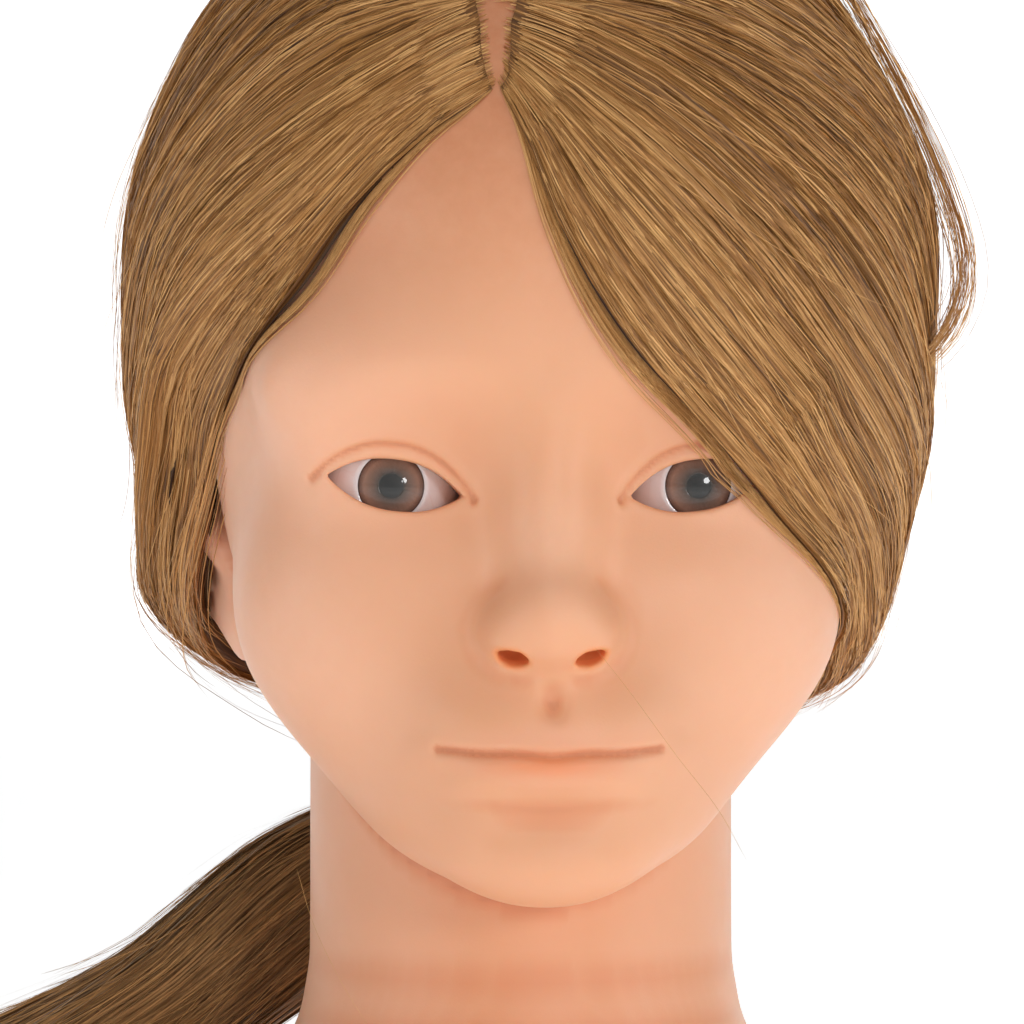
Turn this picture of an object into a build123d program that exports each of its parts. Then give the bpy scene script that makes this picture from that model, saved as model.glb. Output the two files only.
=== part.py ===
"""Mannequin training head: a hollow soft vinyl head and neck with rooted hair tied in a low ponytail.

The row frame is in millimetres, +Z up, with the face towards -Y and the head's right side at -X.
The origin is the mouth of the clamp socket, in the middle of the neck's flat base, so the head stands
on Z = 0. The eyes, the socket and the base are rigid plastic. The hair solids are plain closed forms.
"""

from build123d import *
import math
import os

os.makedirs("parts", exist_ok=True)

# ---- driving dimensions of the head -------------------------------------------------
HEAD_WIDTH = 152.0  # bare scalp, ear to ear
HEAD_LENGTH = 193.0  # forehead to the back of the scalp
CROWN_Z = 302.0
CRANIUM_Y = -4.0
WALL = 3.5  # vinyl skin
NECK_R = 48.3
NECK_TOP_Z = 125.0
FLARE_Z = 46.0  # where the neck begins to widen towards the base
BASE_R = 70.0
SKIN_GAP = 0.3  # between pieces that lie on each other

CRANIUM_A = HEAD_WIDTH / 2
CRANIUM_B = HEAD_LENGTH / 2
CRANIUM_Z = CROWN_Z - CRANIUM_B

# Cross-sections up to the temples: height, half width, front, widest point and back along Y.
FACE_SECTIONS = (
    (72.0, 9.0, -88.0, -78.0, -66.0),
    (75.0, 19.0, -93.0, -74.0, -55.0),
    (80.0, 29.5, -96.0, -66.0, -40.0),
    (88.0, 37.5, -96.0, -58.0, -18.0),
    (97.0, 45.0, -94.0, -50.0, 4.0),
    (108.0, 52.0, -95.5, -44.0, 26.0),
    (120.0, 58.5, -96.0, -38.0, 44.0),
    (134.0, 63.0, -95.0, -32.0, 60.0),
    (148.0, 66.0, -92.0, -26.0, 73.0),
    (164.0, 69.5, -92.0, -20.0, 83.0),
    (184.0, 74.0, -97.0, -12.0, 90.0),
    (CRANIUM_Z, CRANIUM_A, CRANIUM_Y - CRANIUM_B, CRANIUM_Y, CRANIUM_Y + CRANIUM_B),
)
DOME_ANGLES = (16, 32, 47, 60, 71, 80, 86)  # of the sections from there to the crown

# ---- features of the face -----------------------------------------------------------
EYE_X, EYE_Y, EYE_Z = 32.5, -67.0, 160.0  # centre of each eyeball
EYE_R = 16.0
EYE_GAP = 0.2
LID = 2.3  # thickness of the eyelids
LID_BACK_Y = EYE_Y + 2.0  # the lids lie in front of this plane and the eye cup behind it
OPENING_HALF = 14.9  # half the width of the eye opening
OPENING_RISE, OPENING_DROP = 6.6, 5.2
OPENING_TILT = 7.5  # degrees, outer corner up
CUP_WALL = 1.6
IRIS_R, IRIS_T = 7.0, 0.6
IRIS_SEAT = 13.6  # distance of the iris from the centre of the eyeball
PUPIL_R, PUPIL_T = 2.5, 0.2
CORNEA_R, CORNEA_RISE = 6.7, 2.0

NOSE_SECTIONS = (  # height, centre Y, half width, half depth
    (164.0, -88.0, 4.6, 4.0),
    (148.0, -92.0, 7.0, 11.0),
    (135.0, -95.0, 11.5, 19.0),
    (129.0, -96.0, 14.2, 20.0),
    (124.0, -95.0, 11.5, 15.5),
)
NOSTRIL_X, NOSTRIL_Y, NOSTRIL_R, NOSTRIL_DEPTH = 7.6, -105.0, 2.9, 5.0
EAR_Z, EAR_Y, EAR_X = 150.0, 3.0, 62.0
EAR_HEIGHT, EAR_WIDTH, EAR_DEPTH = 52.0, 30.0, 14.0
EAR_FLARE = 14.0  # degrees that the ear turns out from the side of the head
EAR_LEAN = 10.0  # degrees that its top leans back

# ---- base of the neck ---------------------------------------------------------------
PLATE_R, PLATE_T = 66.0, 4.0
HEM_T, HEM_INNER_R = 3.5, 52.0
HOOP_INNER_R, HOOP_OUTER_R, HOOP_T = 51.0, 63.0, 5.0
SOCKET_R, SOCKET_DEPTH = 12.7, 60.0  # one-inch clamp post
SOCKET_WALL, SOCKET_CAP = 4.0, 4.0
FLANGE_R, FLANGE_T = 31.0, 4.0
SCREW_R, SCREW_HEAD_R, SCREW_HEAD_T = 1.75, 3.6, 2.0
HOOP_SCREWS, HOOP_SCREW_CIRCLE_R, HOOP_SCREW_L = 6, 57.0, 11.0
SOCKET_SCREWS, SOCKET_SCREW_CIRCLE_R, SOCKET_SCREW_L = 4, 24.0, 7.5
FOAM_FOOT_Z, FOAM_RELIEF_Z = 16.0, 24.0
LINER_OUT, LINER_IN = WALL + 0.1, WALL + 1.1  # depth of the root-locking layer under the scalp
FOAM_DEPTH = WALL + 1.5
LINER_FOOT_Z = 178.0

# ---- hair ---------------------------------------------------------------------------
HAIR_A = 94.5  # half the width over the hair
HAIR_B = 111.0
HAIR_Y, HAIR_Z = 2.0, 205.0
PART_X = -11.0  # the parting lies towards the head's right
SPLIT_Y = -8.0  # front panels meet the back panels here
NAPE_Z = 150.0
HAIR_SECTIONS = (  # height, centre Y, half width, half depth of the hair from the tie up to the temples
    (112.0, 70.0, 16.0, 15.0),
    (115.0, 60.0, 44.0, 30.0),
    (119.0, 47.0, 66.0, 47.0),
    (127.0, 33.0, 80.0, 64.0),
    (139.0, 19.0, 88.0, 81.0),
    (154.0, 9.0, 91.5, 96.0),
    (176.0, 4.0, 94.0, 107.0),
    (HAIR_Z, HAIR_Y, HAIR_A, HAIR_B),
)
HAIRLINE = (  # X and Z round the face, from the head's right temple over the parting to the left jaw
    (-70.0, 172.0),
    (-62.0, 190.0),
    (-45.0, 215.0),
    (-25.0, 236.0),
    (PART_X, 244.0),
    (4.0, 216.0),
    (21.0, 190.0),
    (42.0, 167.0),
    (55.0, 147.0),
    (59.0, 135.0),
    (58.0, 112.0),
)
EAR_WINDOW = (  # Y and Z of the space round the bare right ear
    (-50.0, 186.0),
    (-8.0, 176.0),
    (16.0, 168.0),
    (24.0, 150.0),
    (23.0, 126.0),
    (30.0, 100.0),
)
TAIL_Y = 70.0  # the bound bundle stands upright here, behind the neck
TIE_Z, TIE_RING_R, TIE_CORD_R = 105.0, 14.8, 3.0
BUNDLE_R, BUNDLE_FOOT_Z = 11.5, 98.0
# Ponytail round to the head's right: centre, half height and half width of each section.
TAIL_STATIONS = (
    ((-8.0, 70.0, 87.0), 13.5, 12.0),
    ((-25.0, 68.5, 75.0), 20.0, 13.0),
    ((-50.0, 62.0, 61.0), 24.0, 14.0),
    ((-82.0, 46.0, 41.5), 25.0, 16.0),
    ((-112.0, 21.0, 27.0), 22.5, 20.0),
    ((-134.0, -10.0, 17.5), 15.5, 24.0),
    ((-144.0, -44.0, 12.0), 10.5, 23.0),
    ((-145.0, -78.0, 8.0), 7.0, 17.0),
    ((-138.0, -106.0, 5.0), 3.5, 8.0),
)
BOX = 400.0  # larger than the head, for cutting away a side


# ---- shared forms -------------------------------------------------------------------
def neck_profile(grow, foot_z):
    """Half profile of the neck on XZ: a flared foot, a concave sweep and a straight column."""
    column = NECK_R + grow
    with BuildSketch(Plane.XZ) as profile:
        with BuildLine():
            foot = Line((0, foot_z), (BASE_R + grow, foot_z))
            rim = Line(foot @ 1, (BASE_R + grow, 9.0))
            sweep_up = Spline(rim @ 1, (column + 5.5, FLARE_Z / 2 - 1), (column, FLARE_Z + 8),
                              tangents=((-0.25, 1), (0, 1)))
            side = Line(sweep_up @ 1, (column, NECK_TOP_Z))
            top = Line(side @ 1, (0, NECK_TOP_Z))
            Line(top @ 1, foot @ 0)
        make_face()
    return profile.sketch


def dome(half_width, half_length, centre_z):
    """Half width, half length and height of the sections of an ellipsoid above its middle."""
    for angle in DOME_ANGLES:
        reach, rise = math.cos(math.radians(angle)), math.sin(math.radians(angle))
        yield half_width * reach, half_length * reach, centre_z + half_length * rise


def head_form(grow=0.0, foot_z=0.0):
    """Head and neck as one closed form, with every surface moved out by grow."""
    rows = [(height, half_width + grow, front - grow, widest, back + grow)
            for height, half_width, front, widest, back in FACE_SECTIONS]
    rows[0] = (FACE_SECTIONS[0][0] - grow, *rows[0][1:])
    for half_width, half_length, height in dome(CRANIUM_A + grow, CRANIUM_B + grow, CRANIUM_Z):
        rows.append((height, half_width, CRANIUM_Y - half_length, CRANIUM_Y, CRANIUM_Y + half_length))
    with BuildPart() as form:
        for height, half_width, front, widest, back in rows:
            with BuildSketch(Plane.XY.offset(height)):
                with BuildLine():  # two half ellipses that meet where the head is widest
                    EllipticalCenterArc((0, widest), half_width, widest - front, 180, arc_size=180)
                    EllipticalCenterArc((0, widest), half_width, back - widest, 0, arc_size=180)
                make_face()
        loft()
        add(revolve(neck_profile(grow, foot_z), axis=Axis.Z, mode=Mode.PRIVATE))
    return form.part


def eye_ball(side, radius):
    """A ball on the centre of one eye, its seam on the side of the nose."""
    place = Location((side * EYE_X, EYE_Y, EYE_Z), (0, 0, 90 + side * 90))
    return Sphere(radius, mode=Mode.PRIVATE).moved(place)


def eye_opening(side):
    """Almond prism through the lids, its outer corner tilted up."""
    plane = Plane(origin=(side * EYE_X, EYE_Y, EYE_Z), x_dir=(side, 0, 0), z_dir=(0, -1, 0))
    with BuildPart() as prism:
        with BuildSketch(plane.rotated((0, 0, side * OPENING_TILT))):
            with BuildLine():
                upper = ThreePointArc((-OPENING_HALF, 0), (0, side * OPENING_RISE), (OPENING_HALF, 0))
                ThreePointArc(upper @ 1, (0, -side * OPENING_DROP), upper @ 0)
            make_face()
        extrude(amount=40)
    return prism.part


def behind_lids(gap=0.0):
    """Everything behind the plane where the lids end."""
    return Box(BOX, BOX, BOX, mode=Mode.PRIVATE).moved(Location((0, LID_BACK_Y + gap + BOX / 2, EYE_Z)))


def below(height):
    """Everything below a height."""
    return Box(BOX, BOX, BOX, mode=Mode.PRIVATE).moved(Location((0, 0, height - BOX / 2)))


def ear(side, grow=0.0):
    """A flat rounded ear that turns out from the head, with a hollow in its outer face."""
    plane = Plane(origin=(side * EAR_X, EAR_Y, EAR_Z), x_dir=(0, 1, 0), z_dir=(side, 0, 0))
    plane = plane.rotated((side * EAR_LEAN, -side * EAR_FLARE, 0))
    with BuildPart() as shape:
        with BuildSketch(plane):
            Ellipse(EAR_WIDTH / 2 + grow, EAR_HEIGHT / 2 + grow)
        extrude(amount=EAR_DEPTH + grow)
        fillet(shape.edges().filter_by(GeomType.ELLIPSE).sort_by(Axis(plane.origin, plane.z_dir))[-1], radius=5)
        if grow == 0:
            with BuildSketch(plane.offset(EAR_DEPTH - 3)):
                Ellipse(EAR_WIDTH / 2 - 6.5, EAR_HEIGHT / 2 - 13)
            extrude(amount=6, mode=Mode.SUBTRACT)
    return shape.part


def screw_row(count, circle_r, length):
    """Countersunk screws on a circle, heads down in the base."""
    with BuildPart() as screws:
        with PolarLocations(circle_r, count):
            with Locations((0, 0, SCREW_HEAD_T / 2)):
                Cone(SCREW_HEAD_R, SCREW_R, SCREW_HEAD_T)
            with Locations((0, 0, length / 2)):
                Cylinder(SCREW_R, length)
            with Locations((0, 0, 0.5)):
                Box(4.2, 0.9, 1.0, mode=Mode.SUBTRACT)
                Box(0.9, 4.2, 1.0, mode=Mode.SUBTRACT)
    return screws.part


def save(part, name):
    """Writes one finished piece as its own STEP file."""
    part.label = name
    export_step(part, f"parts/{name}.step")


SIDES = {"right": -1, "left": 1}

# ---- base: plate, hoop, clamp socket and their screws -------------------------------
with BuildPart() as base_plate:
    Cylinder(PLATE_R, PLATE_T, align=(Align.CENTER, Align.CENTER, Align.MIN))
    fillet(base_plate.edges().filter_by(GeomType.CIRCLE).sort_by(Axis.Z)[0], radius=1.0)
    Cylinder(SOCKET_R + SOCKET_WALL + EYE_GAP, 3 * PLATE_T, mode=Mode.SUBTRACT)
    for count, circle_r in ((HOOP_SCREWS, HOOP_SCREW_CIRCLE_R), (SOCKET_SCREWS, SOCKET_SCREW_CIRCLE_R)):
        with PolarLocations(circle_r, count):
            with Locations((0, 0, SCREW_HEAD_T / 2)):
                Cone(SCREW_HEAD_R + EYE_GAP, SCREW_R + EYE_GAP, SCREW_HEAD_T, mode=Mode.SUBTRACT)
            Cylinder(SCREW_R + EYE_GAP, 3 * PLATE_T, mode=Mode.SUBTRACT)
save(base_plate.part, "base_plate")

with BuildPart() as clamp_socket:
    Cylinder(SOCKET_R + SOCKET_WALL, SOCKET_DEPTH + SOCKET_CAP, align=(Align.CENTER, Align.CENTER, Align.MIN))
    with Locations((0, 0, PLATE_T)):
        Cylinder(FLANGE_R, FLANGE_T, align=(Align.CENTER, Align.CENTER, Align.MIN))
        with PolarLocations(SOCKET_R + SOCKET_WALL + 4.0, SOCKET_SCREWS, start_angle=45):
            Box(11, 3, 18, align=(Align.CENTER, Align.CENTER, Align.MIN))
    Cylinder(SOCKET_R, SOCKET_DEPTH, align=(Align.CENTER, Align.CENTER, Align.MIN), mode=Mode.SUBTRACT)
    with PolarLocations(SOCKET_SCREW_CIRCLE_R, SOCKET_SCREWS):
        Cylinder(SCREW_R, 4 * PLATE_T, mode=Mode.SUBTRACT)
save(clamp_socket.part, "clamp_socket")

HOOP_Z = PLATE_T + HEM_T
with BuildPart() as neck_hoop:
    with BuildSketch(Plane.XY.offset(HOOP_Z)):
        Circle(HOOP_OUTER_R)
        Circle(HOOP_INNER_R, mode=Mode.SUBTRACT)
    extrude(amount=HOOP_T)
    fillet(neck_hoop.edges().filter_by(GeomType.CIRCLE).sort_by(Axis.Z)[-2:], radius=1.0)
    with PolarLocations(HOOP_SCREW_CIRCLE_R, HOOP_SCREWS):
        Cylinder(SCREW_R, 4 * HOOP_Z, mode=Mode.SUBTRACT)
save(neck_hoop.part, "neck_hoop")

save(screw_row(HOOP_SCREWS, HOOP_SCREW_CIRCLE_R, HOOP_SCREW_L), "hoop_screws")
save(screw_row(SOCKET_SCREWS, SOCKET_SCREW_CIRCLE_R, SOCKET_SCREW_L), "socket_screws")

# ---- head skin ----------------------------------------------------------------------
with BuildPart() as nose:
    for height, centre_y, half_width, half_depth in NOSE_SECTIONS:
        with BuildSketch(Plane.XY.offset(height)):
            with Locations((0, centre_y)):
                Ellipse(half_width, half_depth)
    loft()
    add(head_form(-WALL), mode=Mode.SUBTRACT)
    with Locations((-NOSTRIL_X, NOSTRIL_Y, NOSE_SECTIONS[-1][0]), (NOSTRIL_X, NOSTRIL_Y, NOSE_SECTIONS[-1][0])):
        Cylinder(NOSTRIL_R, 2 * NOSTRIL_DEPTH, mode=Mode.SUBTRACT)

with BuildPart() as head_skin:
    add(head_form())
    add(head_form(-WALL, foot_z=PLATE_T + HEM_T), mode=Mode.SUBTRACT)
    # The hem turns in between the plate below and the hoop above.
    Cylinder(PLATE_R + EYE_GAP, PLATE_T, align=(Align.CENTER, Align.CENTER, Align.MIN), mode=Mode.SUBTRACT)
    Cylinder(HEM_INNER_R, 3 * HOOP_Z, mode=Mode.SUBTRACT)
    with PolarLocations(HOOP_SCREW_CIRCLE_R, HOOP_SCREWS):
        Cylinder(SCREW_R + EYE_GAP, 3 * HOOP_Z, mode=Mode.SUBTRACT)
    add(nose.part)
    for side in SIDES.values():
        add(ear(side) - head_form(-WALL))
        add(eye_ball(side, EYE_R + EYE_GAP + LID) - behind_lids())
        add(eye_ball(side, EYE_R + EYE_GAP + CUP_WALL + EYE_GAP) & behind_lids(), mode=Mode.SUBTRACT)
        add(eye_ball(side, EYE_R + EYE_GAP), mode=Mode.SUBTRACT)
        add(eye_opening(side), mode=Mode.SUBTRACT)
save(head_skin.part, "head_skin")

# ---- eyes ---------------------------------------------------------------------------
for name, side in SIDES.items():
    gaze = Plane(origin=(side * EYE_X, EYE_Y, EYE_Z), x_dir=(1, 0, 0), z_dir=(0, -1, 0))

    with BuildPart() as eye_cup:
        add(eye_ball(side, EYE_R + EYE_GAP + CUP_WALL) & behind_lids(EYE_GAP))
        add(eye_ball(side, EYE_R + EYE_GAP / 2), mode=Mode.SUBTRACT)
    save(eye_cup.part, f"eye_cup_{name}")

    with BuildPart() as eye_white:
        add(eye_ball(side, EYE_R))
        with BuildSketch(gaze.offset(IRIS_SEAT)):
            Circle(IRIS_R)
        extrude(amount=EYE_R, mode=Mode.SUBTRACT)
    save(eye_white.part, f"eye_white_{name}")

    with BuildPart() as iris:
        with BuildSketch(gaze.offset(IRIS_SEAT)):
            Circle(IRIS_R)
        extrude(amount=IRIS_T)
    save(iris.part, f"iris_{name}")

    with BuildPart() as pupil:
        with BuildSketch(gaze.offset(IRIS_SEAT + IRIS_T)):
            Circle(PUPIL_R)
        extrude(amount=PUPIL_T)
    save(pupil.part, f"pupil_{name}")

    with BuildPart() as cornea:
        with BuildSketch(Plane.XZ):
            with BuildLine():
                arc = ThreePointArc((-CORNEA_R, 0), (0, CORNEA_RISE), (CORNEA_R, 0))
                Line(arc @ 1, arc @ 0)
            make_face()
            split(bisect_by=Plane.YZ)
        revolve(axis=Axis.Z)
    lens = cornea.part.moved(gaze.offset(IRIS_SEAT + IRIS_T + PUPIL_T).location)
    save(lens, f"cornea_{name}")

# ---- inside the head: root-locking layer and foam core ------------------------------
with BuildPart() as root_layer:
    add(head_form(-LINER_OUT))
    add(head_form(-LINER_IN), mode=Mode.SUBTRACT)
    with BuildSketch(Plane.YZ):  # keeps the scalp above a line from the hairline down to the nape
        with BuildLine():
            Polyline((-BOX, 225), (-40, 225), (40, LINER_FOOT_Z), (BOX, LINER_FOOT_Z), (BOX, BOX), (-BOX, BOX),
                     close=True)
        make_face()
    extrude(amount=BOX, both=True, mode=Mode.INTERSECT)
save(root_layer.part, "root_layer")

with BuildPart() as foam_core:
    add(head_form(-FOAM_DEPTH))
    with Locations((0, 0, FOAM_FOOT_Z)):
        Box(BOX, BOX, BOX, align=(Align.CENTER, Align.CENTER, Align.MAX), mode=Mode.SUBTRACT)
    Cylinder(FLANGE_R, 2 * FOAM_RELIEF_Z, mode=Mode.SUBTRACT)
    Cylinder(SOCKET_R + SOCKET_WALL + EYE_GAP, 2 * (SOCKET_DEPTH + SOCKET_CAP + EYE_GAP), mode=Mode.SUBTRACT)
    for side in SIDES.values():
        add(eye_ball(side, EYE_R + LID + 2 * EYE_GAP), mode=Mode.SUBTRACT)
save(foam_core.part, "foam_core")

# ---- hair ---------------------------------------------------------------------------
with BuildPart() as hair:
    rows = list(HAIR_SECTIONS)
    for half_width, half_depth, height in dome(HAIR_A, HAIR_B, HAIR_Z):
        rows.append((height, HAIR_Y, half_width, half_depth))
    for height, centre_y, half_width, half_depth in rows:
        with BuildSketch(Plane.XY.offset(height)):
            with Locations((0, centre_y)):
                Ellipse(half_width, half_depth)
    loft()
    add(head_form(SKIN_GAP), mode=Mode.SUBTRACT)
    for side in SIDES.values():
        add(ear(side, grow=SKIN_GAP), mode=Mode.SUBTRACT)
        add(eye_ball(side, EYE_R + EYE_GAP + LID + SKIN_GAP), mode=Mode.SUBTRACT)
    with BuildSketch(Plane.XZ.offset(-10)):  # the face stays bare inside the hairline
        with BuildLine():
            line = Spline(HAIRLINE[:5])
            line_left = Spline(HAIRLINE[4:])
            Polyline(line_left @ 1, (59, 60), (-BOX, 60), (-BOX, 172), line @ 0)
        make_face()
    extrude(amount=BOX, mode=Mode.SUBTRACT)
    with BuildSketch(Plane.YZ.offset(-50)):  # and so does the right ear
        with BuildLine():
            edge = Spline(EAR_WINDOW)
            Polyline(edge @ 1, (30, 60), (-BOX, 60), (-BOX, 186), edge @ 0)
        make_face()
    extrude(amount=-BOX, mode=Mode.SUBTRACT)

FRONT = Box(BOX, BOX, BOX, mode=Mode.PRIVATE).moved(Location((0, SPLIT_Y - BOX / 2, HAIR_Z)))
RIGHT = Box(BOX, BOX, BOX, mode=Mode.PRIVATE).moved(Location((PART_X - BOX / 2, 0, HAIR_Z)))

with BuildPart() as hair_front_right:
    add(hair.part & FRONT & RIGHT)
save(hair_front_right.part, "hair_front_right")

with BuildPart() as hair_front_left:
    add((hair.part & FRONT) - RIGHT)
save(hair_front_left.part, "hair_front_left")

with BuildPart() as hair_back:
    add(hair.part - FRONT - below(NAPE_Z))
save(hair_back.part, "hair_back")

with BuildPart() as hair_nape:
    add((hair.part - FRONT) & below(NAPE_Z))
save(hair_nape.part, "hair_nape")

with BuildPart() as hair_band:
    with Locations((0, TAIL_Y, TIE_Z)):
        Torus(TIE_RING_R, TIE_CORD_R)
save(hair_band.part, "hair_band")

with BuildPart() as ponytail:
    with Locations((0, TAIL_Y, BUNDLE_FOOT_Z)):
        bundle_height = HAIR_SECTIONS[0][0] - SKIN_GAP - BUNDLE_FOOT_Z
        Cylinder(BUNDLE_R, bundle_height, align=(Align.CENTER, Align.CENTER, Align.MIN))
    with BuildSketch(Plane((0, TAIL_Y, BUNDLE_FOOT_Z), x_dir=(0, 1, 0), z_dir=(0, 0, -1))):
        Circle(BUNDLE_R)
    points = [(0, TAIL_Y, BUNDLE_FOOT_Z)] + [station[0] for station in TAIL_STATIONS]
    for index, (centre, half_height, half_width) in enumerate(TAIL_STATIONS, start=1):
        ahead = Vector(points[min(index + 1, len(points) - 1)]) - Vector(points[index - 1])
        level = ahead.cross(Vector(0, 0, 1))
        with BuildSketch(Plane(centre, x_dir=level, z_dir=ahead)):
            Ellipse(half_width, half_height)
    loft()
save(ponytail.part, "ponytail")
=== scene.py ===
"""Looks of the mannequin training head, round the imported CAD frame. Metres, +Z up, the face towards -Y."""

import math

import bpy
import numpy as np
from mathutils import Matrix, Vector


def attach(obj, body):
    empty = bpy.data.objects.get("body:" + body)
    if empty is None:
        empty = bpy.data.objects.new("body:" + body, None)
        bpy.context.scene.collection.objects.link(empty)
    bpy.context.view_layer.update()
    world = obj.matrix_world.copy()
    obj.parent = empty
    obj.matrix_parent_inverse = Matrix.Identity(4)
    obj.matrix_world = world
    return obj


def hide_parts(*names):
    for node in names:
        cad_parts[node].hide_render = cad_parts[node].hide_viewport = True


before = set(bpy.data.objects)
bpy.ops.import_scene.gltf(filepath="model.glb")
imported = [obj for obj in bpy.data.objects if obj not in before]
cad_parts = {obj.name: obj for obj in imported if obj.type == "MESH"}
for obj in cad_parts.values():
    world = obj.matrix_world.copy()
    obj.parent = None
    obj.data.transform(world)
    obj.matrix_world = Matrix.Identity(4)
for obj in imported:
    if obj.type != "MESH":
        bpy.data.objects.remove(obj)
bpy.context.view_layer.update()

MM = 0.001

bpy.context.scene.view_settings.view_transform = "Standard"

# ---- camera -------------------------------------------------------------------------
CAM_DISTANCE = 1.0
CAM_AZIMUTH = math.radians(-3.5)
SENSOR, LENS = 36.0, 153.0  # in millimetres
AIM = Vector((-0.0020, 0.0, 0.1545))

camera_data = bpy.data.cameras.new("camera")
camera = bpy.data.objects.new("camera", camera_data)
bpy.context.scene.collection.objects.link(camera)
back = Vector((math.sin(CAM_AZIMUTH), -math.cos(CAM_AZIMUTH), 0.0))
camera.location = AIM + back * CAM_DISTANCE
camera.rotation_euler = (-back).to_track_quat("-Z", "Y").to_euler()
camera_data.sensor_width = SENSOR
camera_data.lens = LENS
bpy.context.scene.camera = camera


# ---- small helpers ------------------------------------------------------------------
def mesh_object(name, points, faces, smooth=True):
    """New mesh object from points in millimetres and a list or array of faces."""
    mesh = bpy.data.meshes.new(name)
    mesh.from_pydata((np.asarray(points, dtype=float) * MM).tolist(), [], np.asarray(faces).tolist())
    mesh.polygons.foreach_set("use_smooth", [smooth] * len(mesh.polygons))
    mesh.update()
    item = bpy.data.objects.new(name, mesh)
    bpy.context.scene.collection.objects.link(item)
    return item


def write_marks(item, **marks):
    """Keeps named values, one for each point of a piece, for its material to read."""
    for name, values in marks.items():
        layer = item.data.attributes.new(name, "FLOAT", "POINT")
        layer.data.foreach_set("value", np.ascontiguousarray(values, dtype=np.float32))


def read_points(item, what):
    """One vector for each point of a piece: its place (co) or its normal."""
    flat = np.empty(len(item.data.vertices) * 3)
    item.data.vertices.foreach_get(what, flat)
    return flat.reshape(-1, 3)


def unit(vectors):
    """The same directions with a length of 1."""
    return vectors / np.maximum(np.linalg.norm(vectors, axis=-1, keepdims=True), 1e-9)


def smooth_curve(knots, values, low, high, blur):
    """Values over knots, blurred, as a function."""
    gap = 0.5  # between samples
    fine = np.arange(low - 4 * blur, high + 4 * blur, gap)
    line = np.interp(fine, knots, values)
    reach = int(3 * blur / gap)
    kernel = np.exp(-0.5 * (np.arange(-reach, reach + 1) * gap / blur) ** 2)
    line = np.convolve(np.pad(line, reach, mode="edge"), kernel / kernel.sum(), mode="valid")
    return lambda z: np.interp(z, fine, line)


def step(a, b, x):
    """Rises smoothly from 0 at a to 1 at b."""
    t = np.clip((x - a) / (b - a), 0.0, 1.0)
    return t * t * (3 - 2 * t)


def smin(a, b, k):
    """The lower of two fields, with the join rounded over k millimetres."""
    h = np.maximum(k - np.abs(a - b), 0.0) / k
    return np.minimum(a, b) - h * h * k * 0.25


def smax(a, b, k):
    """The higher of two fields, rounded in the same way."""
    return -smin(-a, -b, k)


def ellipsoid(p, centre, radii, tilt=0.0):
    """Approximate distance to an ellipsoid, tilted by some degrees about X."""
    x, y, z = (p[i] - centre[i] for i in range(3))
    if tilt:
        c, s = math.cos(math.radians(tilt)), math.sin(math.radians(tilt))
        y, z = c * y + s * z, -s * y + c * z
    k0 = np.sqrt((x / radii[0]) ** 2 + (y / radii[1]) ** 2 + (z / radii[2]) ** 2)
    k1 = np.sqrt((x / radii[0] ** 2) ** 2 + (y / radii[1] ** 2) ** 2 + (z / radii[2] ** 2) ** 2)
    return k0 * (k0 - 1.0) / np.maximum(k1, 1e-6)


def capsule(p, a, b, ra, rb):
    """Distance to a rod from a to b whose radius changes from ra to rb."""
    a, b = np.asarray(a, float), np.asarray(b, float)
    ab = b - a
    x, y, z = p[0] - a[0], p[1] - a[1], p[2] - a[2]
    t = np.clip((x * ab[0] + y * ab[1] + z * ab[2]) / (ab @ ab), 0, 1)
    d = np.sqrt((x - t * ab[0]) ** 2 + (y - t * ab[1]) ** 2 + (z - t * ab[2]) ** 2)
    return d - (ra + (rb - ra) * t)


def polyline_tube(p, points, radius):
    """Distance to a tube of one radius through some points."""
    return np.minimum.reduce([capsule(p, a, b, radius, radius) for a, b in zip(points[:-1], points[1:])])


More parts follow.
